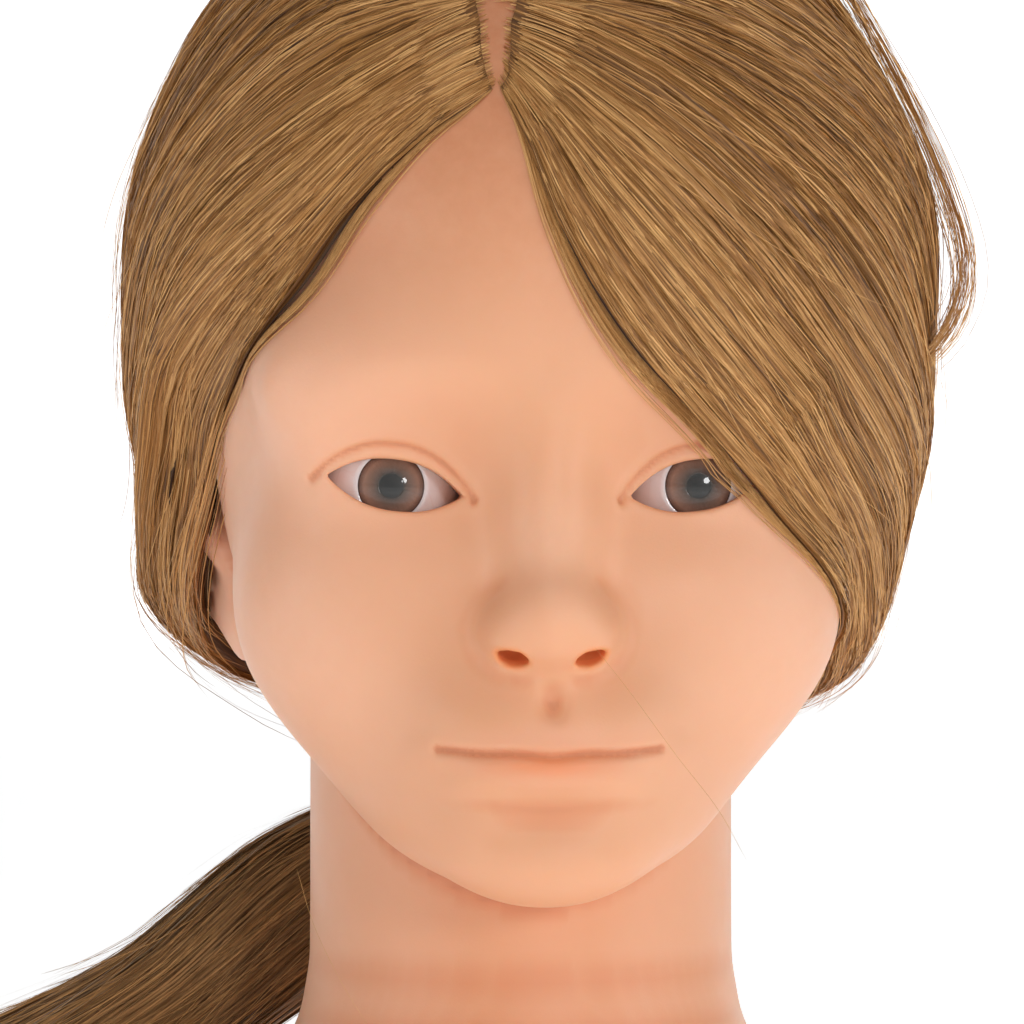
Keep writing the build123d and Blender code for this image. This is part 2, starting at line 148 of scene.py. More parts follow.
# ---- materials ----------------------------------------------------------------------
class Finish:
    """A material under construction: its nodes, and short ways to add and join them."""

    def __init__(self, name):
        self.material = bpy.data.materials.new(name)
        self.material.use_nodes = True
        self.nodes = self.material.node_tree.nodes
        self.links = self.material.node_tree.links
        self.shader = self.nodes["Principled BSDF"]
        self.place = self.add("ShaderNodeTexCoord").outputs["Object"]

    def add(self, kind, sockets=None, **settings):
        """A new node with its settings, and its sockets given a value or a link."""
        node = self.nodes.new(kind)
        for key, value in settings.items():
            setattr(node, key, value)
        for name, value in (sockets or {}).items():
            self.put(node, name, value)
        return node

    def put(self, node, name, value):
        """Links a socket, or gives it a value."""
        if isinstance(value, bpy.types.NodeSocket):
            self.links.new(value, node.inputs[name])
        else:
            node.inputs[name].default_value = value

    def set(self, **values):
        """Sockets of the surface shader, with underscores for spaces."""
        for name, value in values.items():
            self.put(self.shader, name.replace("_", " "), value)

    def attribute(self, name):
        """A value kept for each point of the piece."""
        return self.add("ShaderNodeAttribute", attribute_name=name).outputs["Fac"]

    def math(self, operation, a, b=0.0, clamp=False):
        """The outcome of one operation on one or two values."""
        return self.add("ShaderNodeMath", {0: a, 1: b}, operation=operation, use_clamp=clamp).outputs[0]

    def noise(self, scale, detail=3.0, rough=0.5, vector=None):
        """Cloudy noise from 0 to 1."""
        sockets = {"Vector": vector or self.place, "Scale": scale, "Detail": detail, "Roughness": rough}
        return self.add("ShaderNodeTexNoise", sockets).outputs["Fac"]

    def cells(self, scale, vector=None, feature="F1"):
        """Distance to the nearest of scattered points, or to the edge between two."""
        sockets = {"Vector": vector or self.place, "Scale": scale}
        return self.add("ShaderNodeTexVoronoi", sockets, feature=feature).outputs["Distance"]

    def span(self, value, low, high, to_low=0.0, to_high=1.0):
        """The value moved from one range to another, and kept in it."""
        sockets = {"Value": value, "From Min": low, "From Max": high, "To Min": to_low, "To Max": to_high}
        return self.add("ShaderNodeMapRange", sockets).outputs["Result"]

    def mix(self, factor, a, b, blend="MIX"):
        """Two colours blended by a factor."""
        node = self.add("ShaderNodeMix", data_type="RGBA", blend_type=blend)
        for index, value in ((0, factor), (6, a), (7, b)):
            if isinstance(value, bpy.types.NodeSocket):
                self.links.new(value, node.inputs[index])
            else:
                node.inputs[index].default_value = value if index == 0 else (*value, 1.0)
        return node.outputs[2]

    def ramp(self, factor, *stops):
        """A colour ramp from (place, colour) stops."""
        node = self.add("ShaderNodeValToRGB", {"Fac": factor})
        elements = node.color_ramp.elements
        elements[0].position, elements[0].color = stops[0][0], (*stops[0][1], 1.0)
        elements[1].position, elements[1].color = stops[-1][0], (*stops[-1][1], 1.0)
        for place, colour in stops[1:-1]:
            elements.new(place).color = (*colour, 1.0)
        return node.outputs["Color"]

    def bump(self, height, distance, strength=1.0):
        """A normal for relief of some metres."""
        sockets = {"Height": height, "Distance": distance, "Strength": strength}
        return self.add("ShaderNodeBump", sockets).outputs["Normal"]

    def join(self, x, y, z=0.0):
        """A vector made of three values."""
        return self.add("ShaderNodeCombineXYZ", {"X": x, "Y": y, "Z": z}).outputs[0]

    def tint(self, amount, share, base, colour):
        """The base shaded towards a colour by a share of an amount."""
        return self.mix(self.math("MULTIPLY", amount, share), base, colour)

    def stretched(self, across, along, wide, long, detail, rough, seed):
        """Noise drawn out along the hair: wide and long say how often it changes each way."""
        vector = self.join(self.math("MULTIPLY", across, wide), self.math("MULTIPLY", along, long), seed)
        return self.noise(1.0, detail, rough, vector)


def skin_finish():
    """Matt soft vinyl: peach, uneven in broad soft patches, with painted shade and light: deeper orange
    painted shade over the middle of the face and the top of the forehead, paler painted light on the sides
    and the nose bridge, orange painted shade in folds, lid creases, the mouth line and the nostrils, and a
    painted warm glow under the mouth line.
    """
    f = Finish("skin")
    cavity_shade, lip = f.attribute("cavity_shade"), f.attribute("lip")
    patches = f.span(f.noise(22, 3, 0.55), 0.35, 0.65)
    # The next two colours are painted shade for the middle of the face and painted light for its sides,
    # blended below by distance from the middle line.
    shaded_middle = f.mix(patches, (0.790, 0.388, 0.212), (0.810, 0.412, 0.235))
    lit_sides = f.mix(patches, (0.850, 0.462, 0.300), (0.870, 0.488, 0.325))
    split = f.add("ShaderNodeSeparateXYZ", {"Vector": f.place}).outputs
    base = f.mix(f.span(f.math("ABSOLUTE", split["X"]), 0.012, 0.062), shaded_middle, lit_sides)
    # Painted shade: deeper orange towards the top of the forehead, where the hair shades it.
    base = f.mix(f.span(split["Z"], 0.185, 0.240), base, (0.600, 0.235, 0.108))
    # Painted light: paler on the nose bridge.
    base = f.tint(f.attribute("bridge_light"), 0.60, base, (0.930, 0.530, 0.350))
    fine = f.span(f.noise(260, 3, 0.6), 0.3, 0.7)
    base = f.tint(fine, 0.22, base, (0.80, 0.405, 0.245))
    base = f.tint(lip, 0.22, base, (0.80, 0.38, 0.27))
    # Painted shade: warm orange in folds, stronger the deeper the fold.
    base = f.tint(f.span(cavity_shade, 0.12, 0.80), 0.50, base, (0.70, 0.240, 0.105))
    # Painted shade: orange along the lid folds and round the eye openings.
    base = f.tint(f.attribute("crease_shade"), 0.22, base, (0.72, 0.260, 0.090))
    # Painted shade: dark orange-brown along the closed mouth line.
    base = f.tint(f.attribute("mouth_line_shade"), 0.70, base, (0.60, 0.175, 0.065))
    # Painted warm glow: orange along and just under the mouth line, on the lower lip.
    base = f.tint(f.attribute("glow"), 0.75, base, (0.86, 0.270, 0.100))
    # Painted shade: orange inside the nostrils.
    base = f.tint(f.attribute("nostril_shade"), 0.80, base, (0.84, 0.280, 0.090))
    # Painted shade: darker brown in the deepest folds.
    base = f.tint(f.span(cavity_shade, 0.80, 1.0), 0.25, base, (0.46, 0.140, 0.060))
    specks = f.cells(46)
    speck = f.math("MULTIPLY", f.math("LESS_THAN", specks, 0.026), f.span(f.noise(31, 1), 0.52, 0.60))
    base = f.tint(speck, 0.55, base, (0.36, 0.20, 0.12))
    pores = f.noise(1500, 2, 0.6)
    waves = f.noise(70, 2, 0.5)
    height = f.math("ADD", f.math("MULTIPLY", pores, 0.35), waves)
    f.set(Base_Color=base, Roughness=f.span(f.noise(120, 3), 0.3, 0.7, 0.40, 0.50),
          Normal=f.bump(height, 0.00012, 0.6),
          Subsurface_Weight=0.30, Subsurface_Radius=(1.0, 0.36, 0.18), Subsurface_Scale=0.005,
          Specular_IOR_Level=0.42)
    return f.material


def hair_finish(name, dark, low, middle, high, seed):
    """Combed hair: streaks run along the strands, each strand has its own tone, and painted shade darkens the
    grooves and gaps, most of all on the underside.
    """
    f = Finish(name)
    across, along = f.attribute("across"), f.attribute("along")
    shade, cavity_shade = f.attribute("shade"), f.attribute("cavity_shade")
    broad = f.stretched(across, along, 0.16, 0.012, 2, 0.5, seed)
    streak = f.stretched(across, along, 0.75, 0.010, 3, 0.6, seed + 3.0)
    fibre = f.stretched(across, along, 5.5, 0.03, 2, 0.6, seed + 7.0)
    tone = f.math("ADD", f.span(broad, 0.3, 0.7, -0.13, 0.13), f.span(streak, 0.3, 0.7, -0.22, 0.22))
    tone = f.math("ADD", tone, f.span(fibre, 0.3, 0.7, -0.13, 0.13))
    tone = f.math("ADD", tone, f.span(shade, 0.0, 1.0, -0.36, 0.36))
    # Painted shade: darker in the grooves and darkest on the underside and the rolled edge, lighter on the
    # ridges.
    tone = f.math("ADD", tone, f.span(cavity_shade, -0.9, 0.7, -0.30, 0.14))
    tone = f.math("ADD", tone, 0.52, clamp=True)
    colour = f.ramp(tone, (0.0, dark), (0.30, low), (0.60, middle), (1.0, high))
    height = f.math("ADD", f.math("MULTIPLY", streak, 0.6), f.math("MULTIPLY", fibre, 0.4))
    f.set(Base_Color=colour, Roughness=f.span(fibre, 0.3, 0.7, 0.36, 0.52),
          Normal=f.bump(height, 0.0003, 0.35), Specular_IOR_Level=0.34)
    return f.material


def moulded_finish(name, colour, edge, rough=0.45):
    """Moulded plastic with a fine spark-eroded grain and rubbed, lighter spots."""
    f = Finish(name)
    grain = f.noise(1900, 3, 0.65)
    rubs = f.span(f.noise(38, 5, 0.65), 0.50, 0.72)
    base = f.tint(rubs, 0.35, colour, edge)
    base = f.tint(f.span(grain, 0.3, 0.7), 0.18, base, edge)
    f.set(Base_Color=base, Roughness=f.span(rubs, 0, 1, rough + 0.08, rough - 0.10),
          Normal=f.bump(grain, 0.00015, 0.6), Specular_IOR_Level=0.5)
    return f.material


def steel_finish():
    """Zinc-plated steel with brushed streaks and dull spots."""
    f = Finish("plated_steel")
    stretched = f.add("ShaderNodeMapping", {"Vector": f.place, "Scale": (900, 900, 60)}).outputs[0]
    brushed = f.noise(1.0, 3, 0.6, stretched)
    spots = f.span(f.noise(160, 4, 0.6), 0.48, 0.70)
    base = f.mix(brushed, (0.52, 0.53, 0.54), (0.70, 0.71, 0.72))
    base = f.tint(spots, 0.5, base, (0.36, 0.34, 0.30))
    f.set(Base_Color=base, Metallic=1.0, Roughness=f.span(spots, 0, 1, 0.24, 0.50),
          Normal=f.bump(brushed, 0.00005, 0.5))
    return f.material


def foam_finish():
    """Rigid foam: cream, open cells and a few larger bubbles."""
    f = Finish("rigid_foam")
    cells, bubbles = f.cells(650), f.cells(140)
    pits = f.math("MULTIPLY", f.span(bubbles, 0.0, 0.22, 1.0, 0.0), 0.8)
    base = f.mix(f.span(cells, 0.1, 0.8), (0.60, 0.46, 0.27), (0.80, 0.68, 0.46))
    # Painted shade: darker brown inside the bubble pits.
    base = f.mix(pits, base, (0.45, 0.32, 0.17))
    height = f.math("SUBTRACT", cells, pits)
    f.set(Base_Color=base, Roughness=0.85, Normal=f.bump(height, 0.0006, 0.8))
    return f.material


def latex_finish():
    """Latex brushed over the knotted hair roots inside the scalp."""
    f = Finish("root_latex")
    lumps, knots = f.noise(240, 4, 0.6), f.cells(420)
    base = f.mix(f.span(lumps, 0.35, 0.65), (0.62, 0.44, 0.26), (0.76, 0.60, 0.40))
    base = f.mix(f.span(knots, 0.0, 0.28, 0.75, 0.0), base, (0.20, 0.12, 0.06))
    f.set(Base_Color=base, Roughness=f.span(lumps, 0.3, 0.7, 0.38, 0.6),
          Normal=f.bump(f.math("ADD", lumps, knots), 0.0005, 0.8))
    return f.material


def elastic_finish():
    """Covered elastic: fine slanting ribs of dark thread."""
    f = Finish("covered_elastic")
    wave = f.add("ShaderNodeTexWave", {"Vector": f.place, "Scale": 260, "Distortion": 1.5, "Detail": 2.0},
                 bands_direction="DIAGONAL").outputs["Fac"]
    thread = f.noise(1500, 3, 0.6)
    base = f.mix(wave, (0.014, 0.010, 0.008), (0.075, 0.055, 0.042))
    base = f.tint(thread, 0.3, base, (0.11, 0.09, 0.08))
    f.set(Base_Color=base, Roughness=0.78, Normal=f.bump(f.math("ADD", wave, thread), 0.0004, 0.8),
          Sheen_Weight=0.10, Sheen_Roughness=0.5)
    return f.material


def eye_white_finish():
    """Cast acrylic, off-white with faint veins, and a darker rosy ring next to the iris that is painted
    shade, evening out the brighter light there.
    """
    f = Finish("eye_white")
    cloud = f.noise(130, 4, 0.6)
    veins = f.cells(190, feature="DISTANCE_TO_EDGE")
    base = f.mix(f.span(cloud, 0.35, 0.65), (0.93, 0.88, 0.89), (0.97, 0.93, 0.94))
    # Painted shade: a darker rosy ring next to the iris, where the light falls brighter.
    base = f.mix(f.span(f.attribute("radius"), 0.42, 0.60, 0.75, 0.0), base, (0.82, 0.72, 0.71))
    base = f.mix(f.span(veins, 0.0, 0.03, 0.10, 0.0), base, (0.70, 0.34, 0.30))
    f.set(Base_Color=base, Roughness=f.span(cloud, 0, 1, 0.12, 0.20), Coat_Weight=0.6, Coat_Roughness=0.04,
          Subsurface_Weight=0.25, Subsurface_Radius=(1.0, 0.8, 0.7), Subsurface_Scale=0.004)
    return f.material


def iris_finish():
    """Printed iris: brown-grey spokes, darker towards the rim, greener near the pupil."""
    f = Finish("iris")
    radius, angle = f.attribute("radius"), f.attribute("angle")
    spokes = f.noise(1.0, 4, 0.65, f.join(f.math("MULTIPLY", angle, 9.0), f.math("MULTIPLY", radius, 1.4)))
    colour = f.ramp(radius, (0.37, (0.022, 0.022, 0.018)), (0.60, (0.150, 0.088, 0.062)),
                    (0.82, (0.270, 0.148, 0.100)), (0.94, (0.160, 0.082, 0.058)),
                    (1.0, (0.030, 0.018, 0.015)))
    light = f.mix(f.span(spokes, 0.35, 0.70, 0.0, 0.65), (0.0, 0.0, 0.0), (0.075, 0.058, 0.045))
    colour = f.mix(f.span(radius, 0.80, 1.0, 1.0, 0.1), colour, f.mix(1.0, colour, light, "ADD"))
    f.set(Base_Color=colour, Roughness=0.40, Coat_Weight=0.6, Coat_Roughness=0.02,
          Normal=f.bump(spokes, 0.0002, 0.6), Specular_IOR_Level=0.15)
    return f.material


def pupil_finish():
    """Dark grey-green print with a cloudy middle."""
    f = Finish("pupil")
    cloud = f.noise(900, 3, 0.6)
    base = f.mix(cloud, (0.012, 0.014, 0.013), (0.022, 0.024, 0.022))
    base = f.mix(f.span(f.attribute("radius"), 0.2, 1.0, 1.0, 0.0), base, (0.008, 0.010, 0.009))
    f.set(Base_Color=base, Roughness=f.span(cloud, 0, 1, 0.3, 0.4), Coat_Weight=0.6, Coat_Roughness=0.02,
          Specular_IOR_Level=0.15)
    return f.material


def cornea_finish():
    """Clear acrylic dome, hardly seen apart from its highlight."""
    f = Finish("clear_dome")
    haze = f.noise(300, 3, 0.6)
    f.set(Base_Color=f.mix(haze, (0.90, 0.90, 0.92), (1.0, 1.0, 1.0)),
          Roughness=f.span(haze, 0, 1, 0.015, 0.04), Alpha=f.span(haze, 0.0, 1.0, 0.012, 0.03),
          Specular_IOR_Level=0.6)
    return f.material


GOLD = ((0.036, 0.013, 0.004), (0.160, 0.064, 0.016), (0.410, 0.182, 0.048), (0.730, 0.410, 0.150))
# The ponytail's palette: greyer and darker than GOLD, partly a different dye and partly painted shade.
ASH_AND_SHADE = ((0.034, 0.019, 0.009), (0.115, 0.064, 0.028), (0.270, 0.155, 0.064), (0.580, 0.340, 0.136))


# ---- head form ----------------------------------------------------------------------
EYE_X, EYE_Y, EYE_Z = 32.5, -67.0, 160.0
EYE_R = 16.0
LID_R = 17.5
LID_TILT = math.radians(5.5)
LEVELS = np.array([40, 66, 72, 76, 82, 90, 98, 108, 120, 134, 148, 164, 184, 205.5, 240], float)


def face_profile(values, blur):
    """A measure of the face's sections, given at LEVELS, for any height."""
    return smooth_curve(LEVELS, values, 40, 310, blur)


HALF = face_profile([8, 10, 16, 23, 31.5, 39.5, 46, 53, 59, 63, 67, 70, 74, 76, 76], 3.0)
FRONT = face_profile([-80, -86, -92, -95, -96, -95, -93.5, -93, -93.5, -93, -92, -93, -97.5, -100.5,
                      -100.5], 4.0)
WIDE = face_profile([-78, -76, -74, -70, -64, -57, -50, -44, -38, -32, -26, -20, -12, -4, -4], 5.0)
REAR = face_profile([-70, -62, -58, -50, -36, -16, 4, 26, 44, 60, 73, 83, 90, 92.5, 92.5], 4.0)
NECK_LEVELS = [0, 8, 14, 22, 30, 40, 52, 70, 125]
NECK = smooth_curve(NECK_LEVELS, [70, 70, 67, 60.5, 55, 50.5, 48.4, 48.3, 48.3], 0, 130, 2.0)
NOSTRIL = (7.8, -100.9, 125.6)


def face_column(p):
    """The skull below the temples, the cheeks and the jaw, as stacked rounded sections."""
    x, y, z = p
    half, wide = HALF(z), WIDE(z)
    ahead = y < wide
    depth = np.where(ahead, wide - FRONT(z), REAR(z) - wide)
    power = np.where(ahead, 2.25, 2.0)
    r = (np.abs(x / half) ** power + np.abs((y - wide) / depth) ** power) ** (1.0 / power)
    column = (r - 1.0) * np.minimum(half, depth)
    chin = 74.5 - z + 0.0022 * x * x + 0.22 * np.maximum(y + 84, 0) * -1.0
    return column, chin


def eye_distance(p, side):
    """Distance to the middle of one eyeball."""
    return np.sqrt((p[0] - side * EYE_X) ** 2 + (p[1] - EYE_Y) ** 2 + (p[2] - EYE_Z) ** 2)


def almond(p, side):
    """Distance-like value of the opening between the lids, negative inside, seen from the front."""
    u = (p[0] - side * EYE_X) * side
    w = p[2] - EYE_Z
    c, s = math.cos(LID_TILT), math.sin(LID_TILT)
    u, w = c * u + s * w, -s * u + c * w
    t = np.clip(u / 14.5, -1.3, 1.3)
    upper = 5.6 * (1 - np.abs(t - 0.02) ** 2.3)
    lower = -5.2 * (1 - np.abs(t + 0.12) ** 2.3)
    return np.maximum(w - upper, lower - w)


def on_face(x, z, form):
    """The skin's foremost y at x and z for a field, by looking along the line of sight."""
    y = np.linspace(-116, -60, 225)
    values = form((np.full_like(y, x), y, np.full_like(y, z)))
    return float(y[np.argmax(values < 0)])


def lid_arc(side, rise, lift, reach, steps=14):
    """Points of a fold that follows a lid on the skin, rise millimetres high (low if negative)."""
    points = []
    c, s = math.cos(LID_TILT * 1.4), math.sin(LID_TILT * 1.4)
    for t in np.linspace(-1, 1, steps + 1):
        u, w = t * reach, rise * (1 - abs(t) ** 2.3) + lift
        x, z = side * (EYE_X + c * u - s * w), EYE_Z + s * u + c * w
        points.append((x, on_face(x, z, head_value), z))
    return points


def ear_form(p, side):
    """Shell of the ear: a leaf that turns out, a rolled rim, a hollow and a soft lobe."""
    x, y, z = p[0] * side - 67.5, p[1] - 4.0, p[2] - 149.5
    c, s = math.cos(math.radians(15)), math.sin(math.radians(15))
    x, y = c * x - s * y, s * x + c * y  # x out of the ear's plane, y across it
    lean = math.radians(10)
    y, z = math.cos(lean) * y - math.sin(lean) * z, math.sin(lean) * y + math.cos(lean) * z
    wide = 15.0 + 0.10 * z
    ring = np.sqrt((y / wide) ** 2 + (z / 28.0) ** 2)
    inward = (1.0 - ring) * 15.0
    x = x - 4.5 + 0.0012 * z * z + 0.30 * np.maximum(-z - 2, 0)
    leaf = np.maximum(np.abs(x) - 1.9, -inward * 1.0)
    rim = np.sqrt((x - 1.8) ** 2 + (inward - 2.3) ** 2) - 2.3
    rim = np.where(z < -14, rim + 0.25 * (-14 - z), rim)
    rim = np.where((y < -2) & (z < 2), rim + 0.22 * np.minimum(2 - z, 8), rim)
    anti = np.sqrt((x - 0.8) ** 2 + (inward - 8.0) ** 2) - 1.9
    anti = np.where((y < -1) | (z < -13), anti + 3.0, anti)
    lobe = ellipsoid((x, y, z), (0.3, -2.5, -21.0), (3.4, 7.0, 8.0))
    tragus = ellipsoid((x, y, z), (2.5, -11.0, -3.0), (3.0, 4.0, 6.0))
    form = smin(leaf, rim, 2.0)
    form = smin(form, anti, 2.5)
    form = smin(form, lobe, 4.0)
    form = smin(form, tragus, 3.0)
    hollow = ellipsoid((x, y, z), (3.5, -4.0, -3.0), (4.2, 6.0, 9.5))
    form = smax(form, -hollow, 2.0)
    root = ellipsoid((x, y, z), (-4.0, -6.0, -2.0), (6.0, 8.0, 21.0))
    return smin(form, root, 4.0)


def head_value(p):
    """Signed value of the skin, in millimetres, negative inside."""
    x, y, z = p
    mirrored = (np.hypot(x, 2.0), y, z)  # both halves at once, with no kink between them
    column, chin = face_column(p)
    skull = ellipsoid(p, (0, -4, 205.5), (76, 96.5, 96.5))
    high = step(178, 216, z)
    f = smax(column, chin, 14.0) * (1 - high) + skull * high
    # Masses of the face: cheeks, brows, the mound of the mouth, chin.
    f = smin(f, ellipsoid(mirrored, (40, -64.5, 134), (20, 17, 18)), 26.0)
    f = smin(f, ellipsoid(mirrored, (29, -80.5, 181), (27, 9, 12), -8), 24.0)
    f = smin(f, ellipsoid(p, (0, -80, 107), (27, 19, 22)), 16.0)
    f = smin(f, ellipsoid(p, (0, -85, 86), (18, 13, 12)), 12.0)
    # Hollows of the eyes, and the lids over the eyeballs.
    f = smax(f, -ellipsoid(mirrored, (27, -101, 163), (20, 11.5, 12)), 14.0)
    f = smin(f, eye_distance(mirrored, 1) - LID_R, 5.0)
    # Nose: bridge, tip, wings, the wall between the nostrils, nostrils.
    f = smin(f, capsule(p, (0, -88.0, 170), (0, -100.0, 136), 5.6, 7.4), 15.0)
    f = smin(f, ellipsoid(p, (0, -102.5, 132.0), (7.8, 7.6, 6.8)), 7.0)
    f = smin(f, ellipsoid(mirrored, (8.2, -97.0, 129.4), (5.2, 8.4, 5.6), 8), 6.0)
    f = smin(f, capsule(p, (0, -102.5, 128.0), (0, -96, 122.5), 2.6, 2.8), 6.0)
    f = smax(f, -ellipsoid(mirrored, NOSTRIL, (3.4, 4.4, 2.8), 20), 1.4)
    return f


def lips_form(f, p):
    """Two soft lips that hardly stand out."""
    x, y, z = p
    rise = 0.0016 * x * x
    f = smin(f, ellipsoid((x, y, z - rise), (0, -91.2, 108.0), (19.0, 8.6, 6.5)), 12.0)
    return smin(f, ellipsoid((x, y, z - rise), (0, -93.4, 99.4), (17.5, 9.6, 5.0)), 6.0)


def mouth_line():
    """Points of the closed line between the lips, on the skin."""
    points = []
    for t in np.linspace(-1, 1, 21):
        z = 104.3 + 0.9 * abs(t) ** 2.2 - 0.3 * math.cos(t * 9.0) * (1 - abs(t))
        y = on_face(t * 23.4, z, lambda q: lips_form(head_value(q), q))
        points.append((t * 23.4, y + 0.2, z))
    return points


MOUTH_LINE = mouth_line()
DIMPLE_Y = on_face(0.4, 115.2, lambda q: lips_form(head_value(q), q)) - 2.6


def mouth_form(f, p):
    """Lips with a thin closed line, the dimple above and the fold below."""
    f = lips_form(f, p)
    f = smax(f, -polyline_tube(p, MOUTH_LINE, 0.5), 1.8)
    f = smax(f, -ellipsoid(p, (0.4, DIMPLE_Y, 115.4), (2.4, 3.4, 3.2)), 3.4)
    return smax(f, -ellipsoid(p, (0, -107.5, 91.0), (15, 7.0, 3.6)), 9.0)


CREASES = {side: lid_arc(side, 9.2, -0.7, 17.0) for side in (-1, 1)}


def lids_form(f, p):
    """Folds over the lids, the openings between them and room for the eyeballs."""
    for side in (-1, 1):
        ball = eye_distance(p, side)
        near = np.abs(ball - 18) < 12
        if not near.any():
            continue
        q = tuple(c[near] for c in p)
        g = f[near]
        g = smax(g, -polyline_tube(q, CREASES[side], 0.40), 1.8)
        opening = almond(q, side)
        front = -(q[1] - (EYE_Y - 6.0))
        g = smax(g, -np.maximum(opening, -front), 0.9)
        g = np.maximum(g, -(ball[near] - EYE_R - 0.15))
        f[near] = g
    return f


def neck_form(f, p):
    """The neck with its widening foot, hollowed for the plate, hoop, foam and clamp socket."""
    r = np.sqrt(p[0] * p[0] + p[1] * p[1])
    z = p[2]
    neck = np.maximum((r - NECK(z)) * 0.9, z - 125)
    f = smin(f, neck, 9.0)
    f = smax(f, -z, 1.2)
    for radius, top in ((66.3, 4.0), (52.0, 12.6), (31.0, 24.0), (17.2, 64.5)):
        f = np.maximum(f, -np.maximum(r - radius, z - top))
    return f


def head_field(p):
    """The whole vinyl skin: face, mouth, ears, lids and neck."""
    f = head_value(p)
    f = mouth_form(f, p)
    for side in (-1, 1):
        near = (p[0] * side > 48) & (p[2] > 105) & (p[2] < 190) & (np.abs(p[1] - 5) < 38)
        if near.any():
            q = tuple(c[near] for c in p)
            f[near] = smin(f[near], ear_form(q, side), 3.0)
    return neck_form(lids_form(f, p), p)


def graded(low, high, fine_low, fine_high, fine, coarse):
    """Grid lines that are close together between fine_low and fine_high."""
    mid = np.arange(fine_low, fine_high, fine)
    left = fine_low - np.cumsum(np.minimum(fine * 1.12 ** np.arange(1, 400), coarse))
    right = mid[-1] + np.cumsum(np.minimum(fine * 1.12 ** np.arange(1, 400), coarse))
    return np.concatenate([left[left > low][::-1], mid, right[right < high]])


def edge_ends(values, axis):
    """The values at the lower and upper end of every grid edge along one axis."""
    low, high = [slice(None)] * 3, [slice(None)] * 3
    low[axis], high[axis] = slice(None, -1), slice(1, None)
    return values[tuple(low)], values[tuple(high)]


def neighbour_cells(edges, axes, shifts):
    """For each grid edge, the cell that lies shifts away from it along two axes."""
    cells = edges.copy()
    for axis, shift in zip(axes, shifts):
        cells[:, axis] += shift
    return cells


def surface_net(xs, ys, zs, field):
    """Quads round the zero level of a field given on grid lines."""
    inside = field < 0
    shape = (len(xs) - 1, len(ys) - 1, len(zs) - 1)
    total = np.zeros(shape + (3,), np.float32)
    count = np.zeros(shape, np.float32)
    lines = (xs, ys, zs)
    for axis in range(3):
        low, high = edge_ends(field, axis)
        cross = np.not_equal(*edge_ends(inside, axis))
        edges = np.argwhere(cross)
        t = low[cross] / (low[cross] - high[cross])
        point = np.stack([lines[d][edges[:, d]] for d in range(3)], axis=1)
        point[:, axis] += t * (lines[axis][edges[:, axis] + 1] - lines[axis][edges[:, axis]])
        others = [d for d in range(3) if d != axis]
        for shifts in ((0, 0), (0, -1), (-1, 0), (-1, -1)):
            cell = neighbour_cells(edges, others, shifts)
            kept = np.all((cell >= 0) & (cell < np.array(shape)), axis=1)
            place = tuple(cell[kept].T)
            np.add.at(total, place, point[kept])
            np.add.at(count, place, 1)
    used = count > 0
    number = np.full(shape, -1, np.int64)
    number[used] = np.arange(used.sum())
    points = total[used] / count[used][:, None]
    faces = []
    for axis in range(3):
        first, second = edge_ends(inside, axis)
        edges = np.argwhere(first != second)
        a, b = [(1, 2), (2, 0), (0, 1)][axis]
        kept = (edges[:, a] > 0) & (edges[:, b] > 0) & (edges[:, a] < shape[a]) & (edges[:, b] < shape[b])
        edges = edges[kept]
        ring = ((-1, -1), (0, -1), (0, 0), (-1, 0))
        quad = np.stack([number[tuple(neighbour_cells(edges, (a, b), way).T)] for way in ring], axis=1)
        flip = first[tuple(edges.T)]
        quad[~flip] = quad[~flip][:, ::-1]
        faces.append(quad)
    return points, np.concatenate(faces)


def neighbour_mean(points, faces):
    """For each point of a quad mesh, the mean of the points at the other ends of its edges."""
    total = np.zeros_like(points)
    count = np.zeros(len(points))
    for i in range(4):
        np.add.at(total, faces[:, i], points[faces[:, (i + 1) % 4]] + points[faces[:, (i + 3) % 4]])
        np.add.at(count, faces[:, i], 2)
    return total / np.maximum(count, 1)[:, None]


def settle(points, faces, field, rounds=3):
    """Moves the points onto the zero level, evening them out along the surface."""
    probe, furthest = 0.15, 0.8  # for the slope, and for one move
    p = points.astype(np.float64)
    for turn in range(rounds):
        share = 0.5 if turn < rounds - 1 else 0.0
        p = p * (1 - share) + share * neighbour_mean(p, faces)
        for _ in range(2):
            value = field(tuple(p.T))
            slope = np.stack([(field(tuple((p + d).T)) - field(tuple((p - d).T))) / (2 * probe)
                              for d in np.eye(3) * probe], axis=1)
            move = -(value / np.maximum((slope ** 2).sum(1), 0.05))[:, None] * slope
            length = np.linalg.norm(move, axis=1, keepdims=True)
            p += move * np.minimum(1.0, furthest / np.maximum(length, 1e-9))
    return p


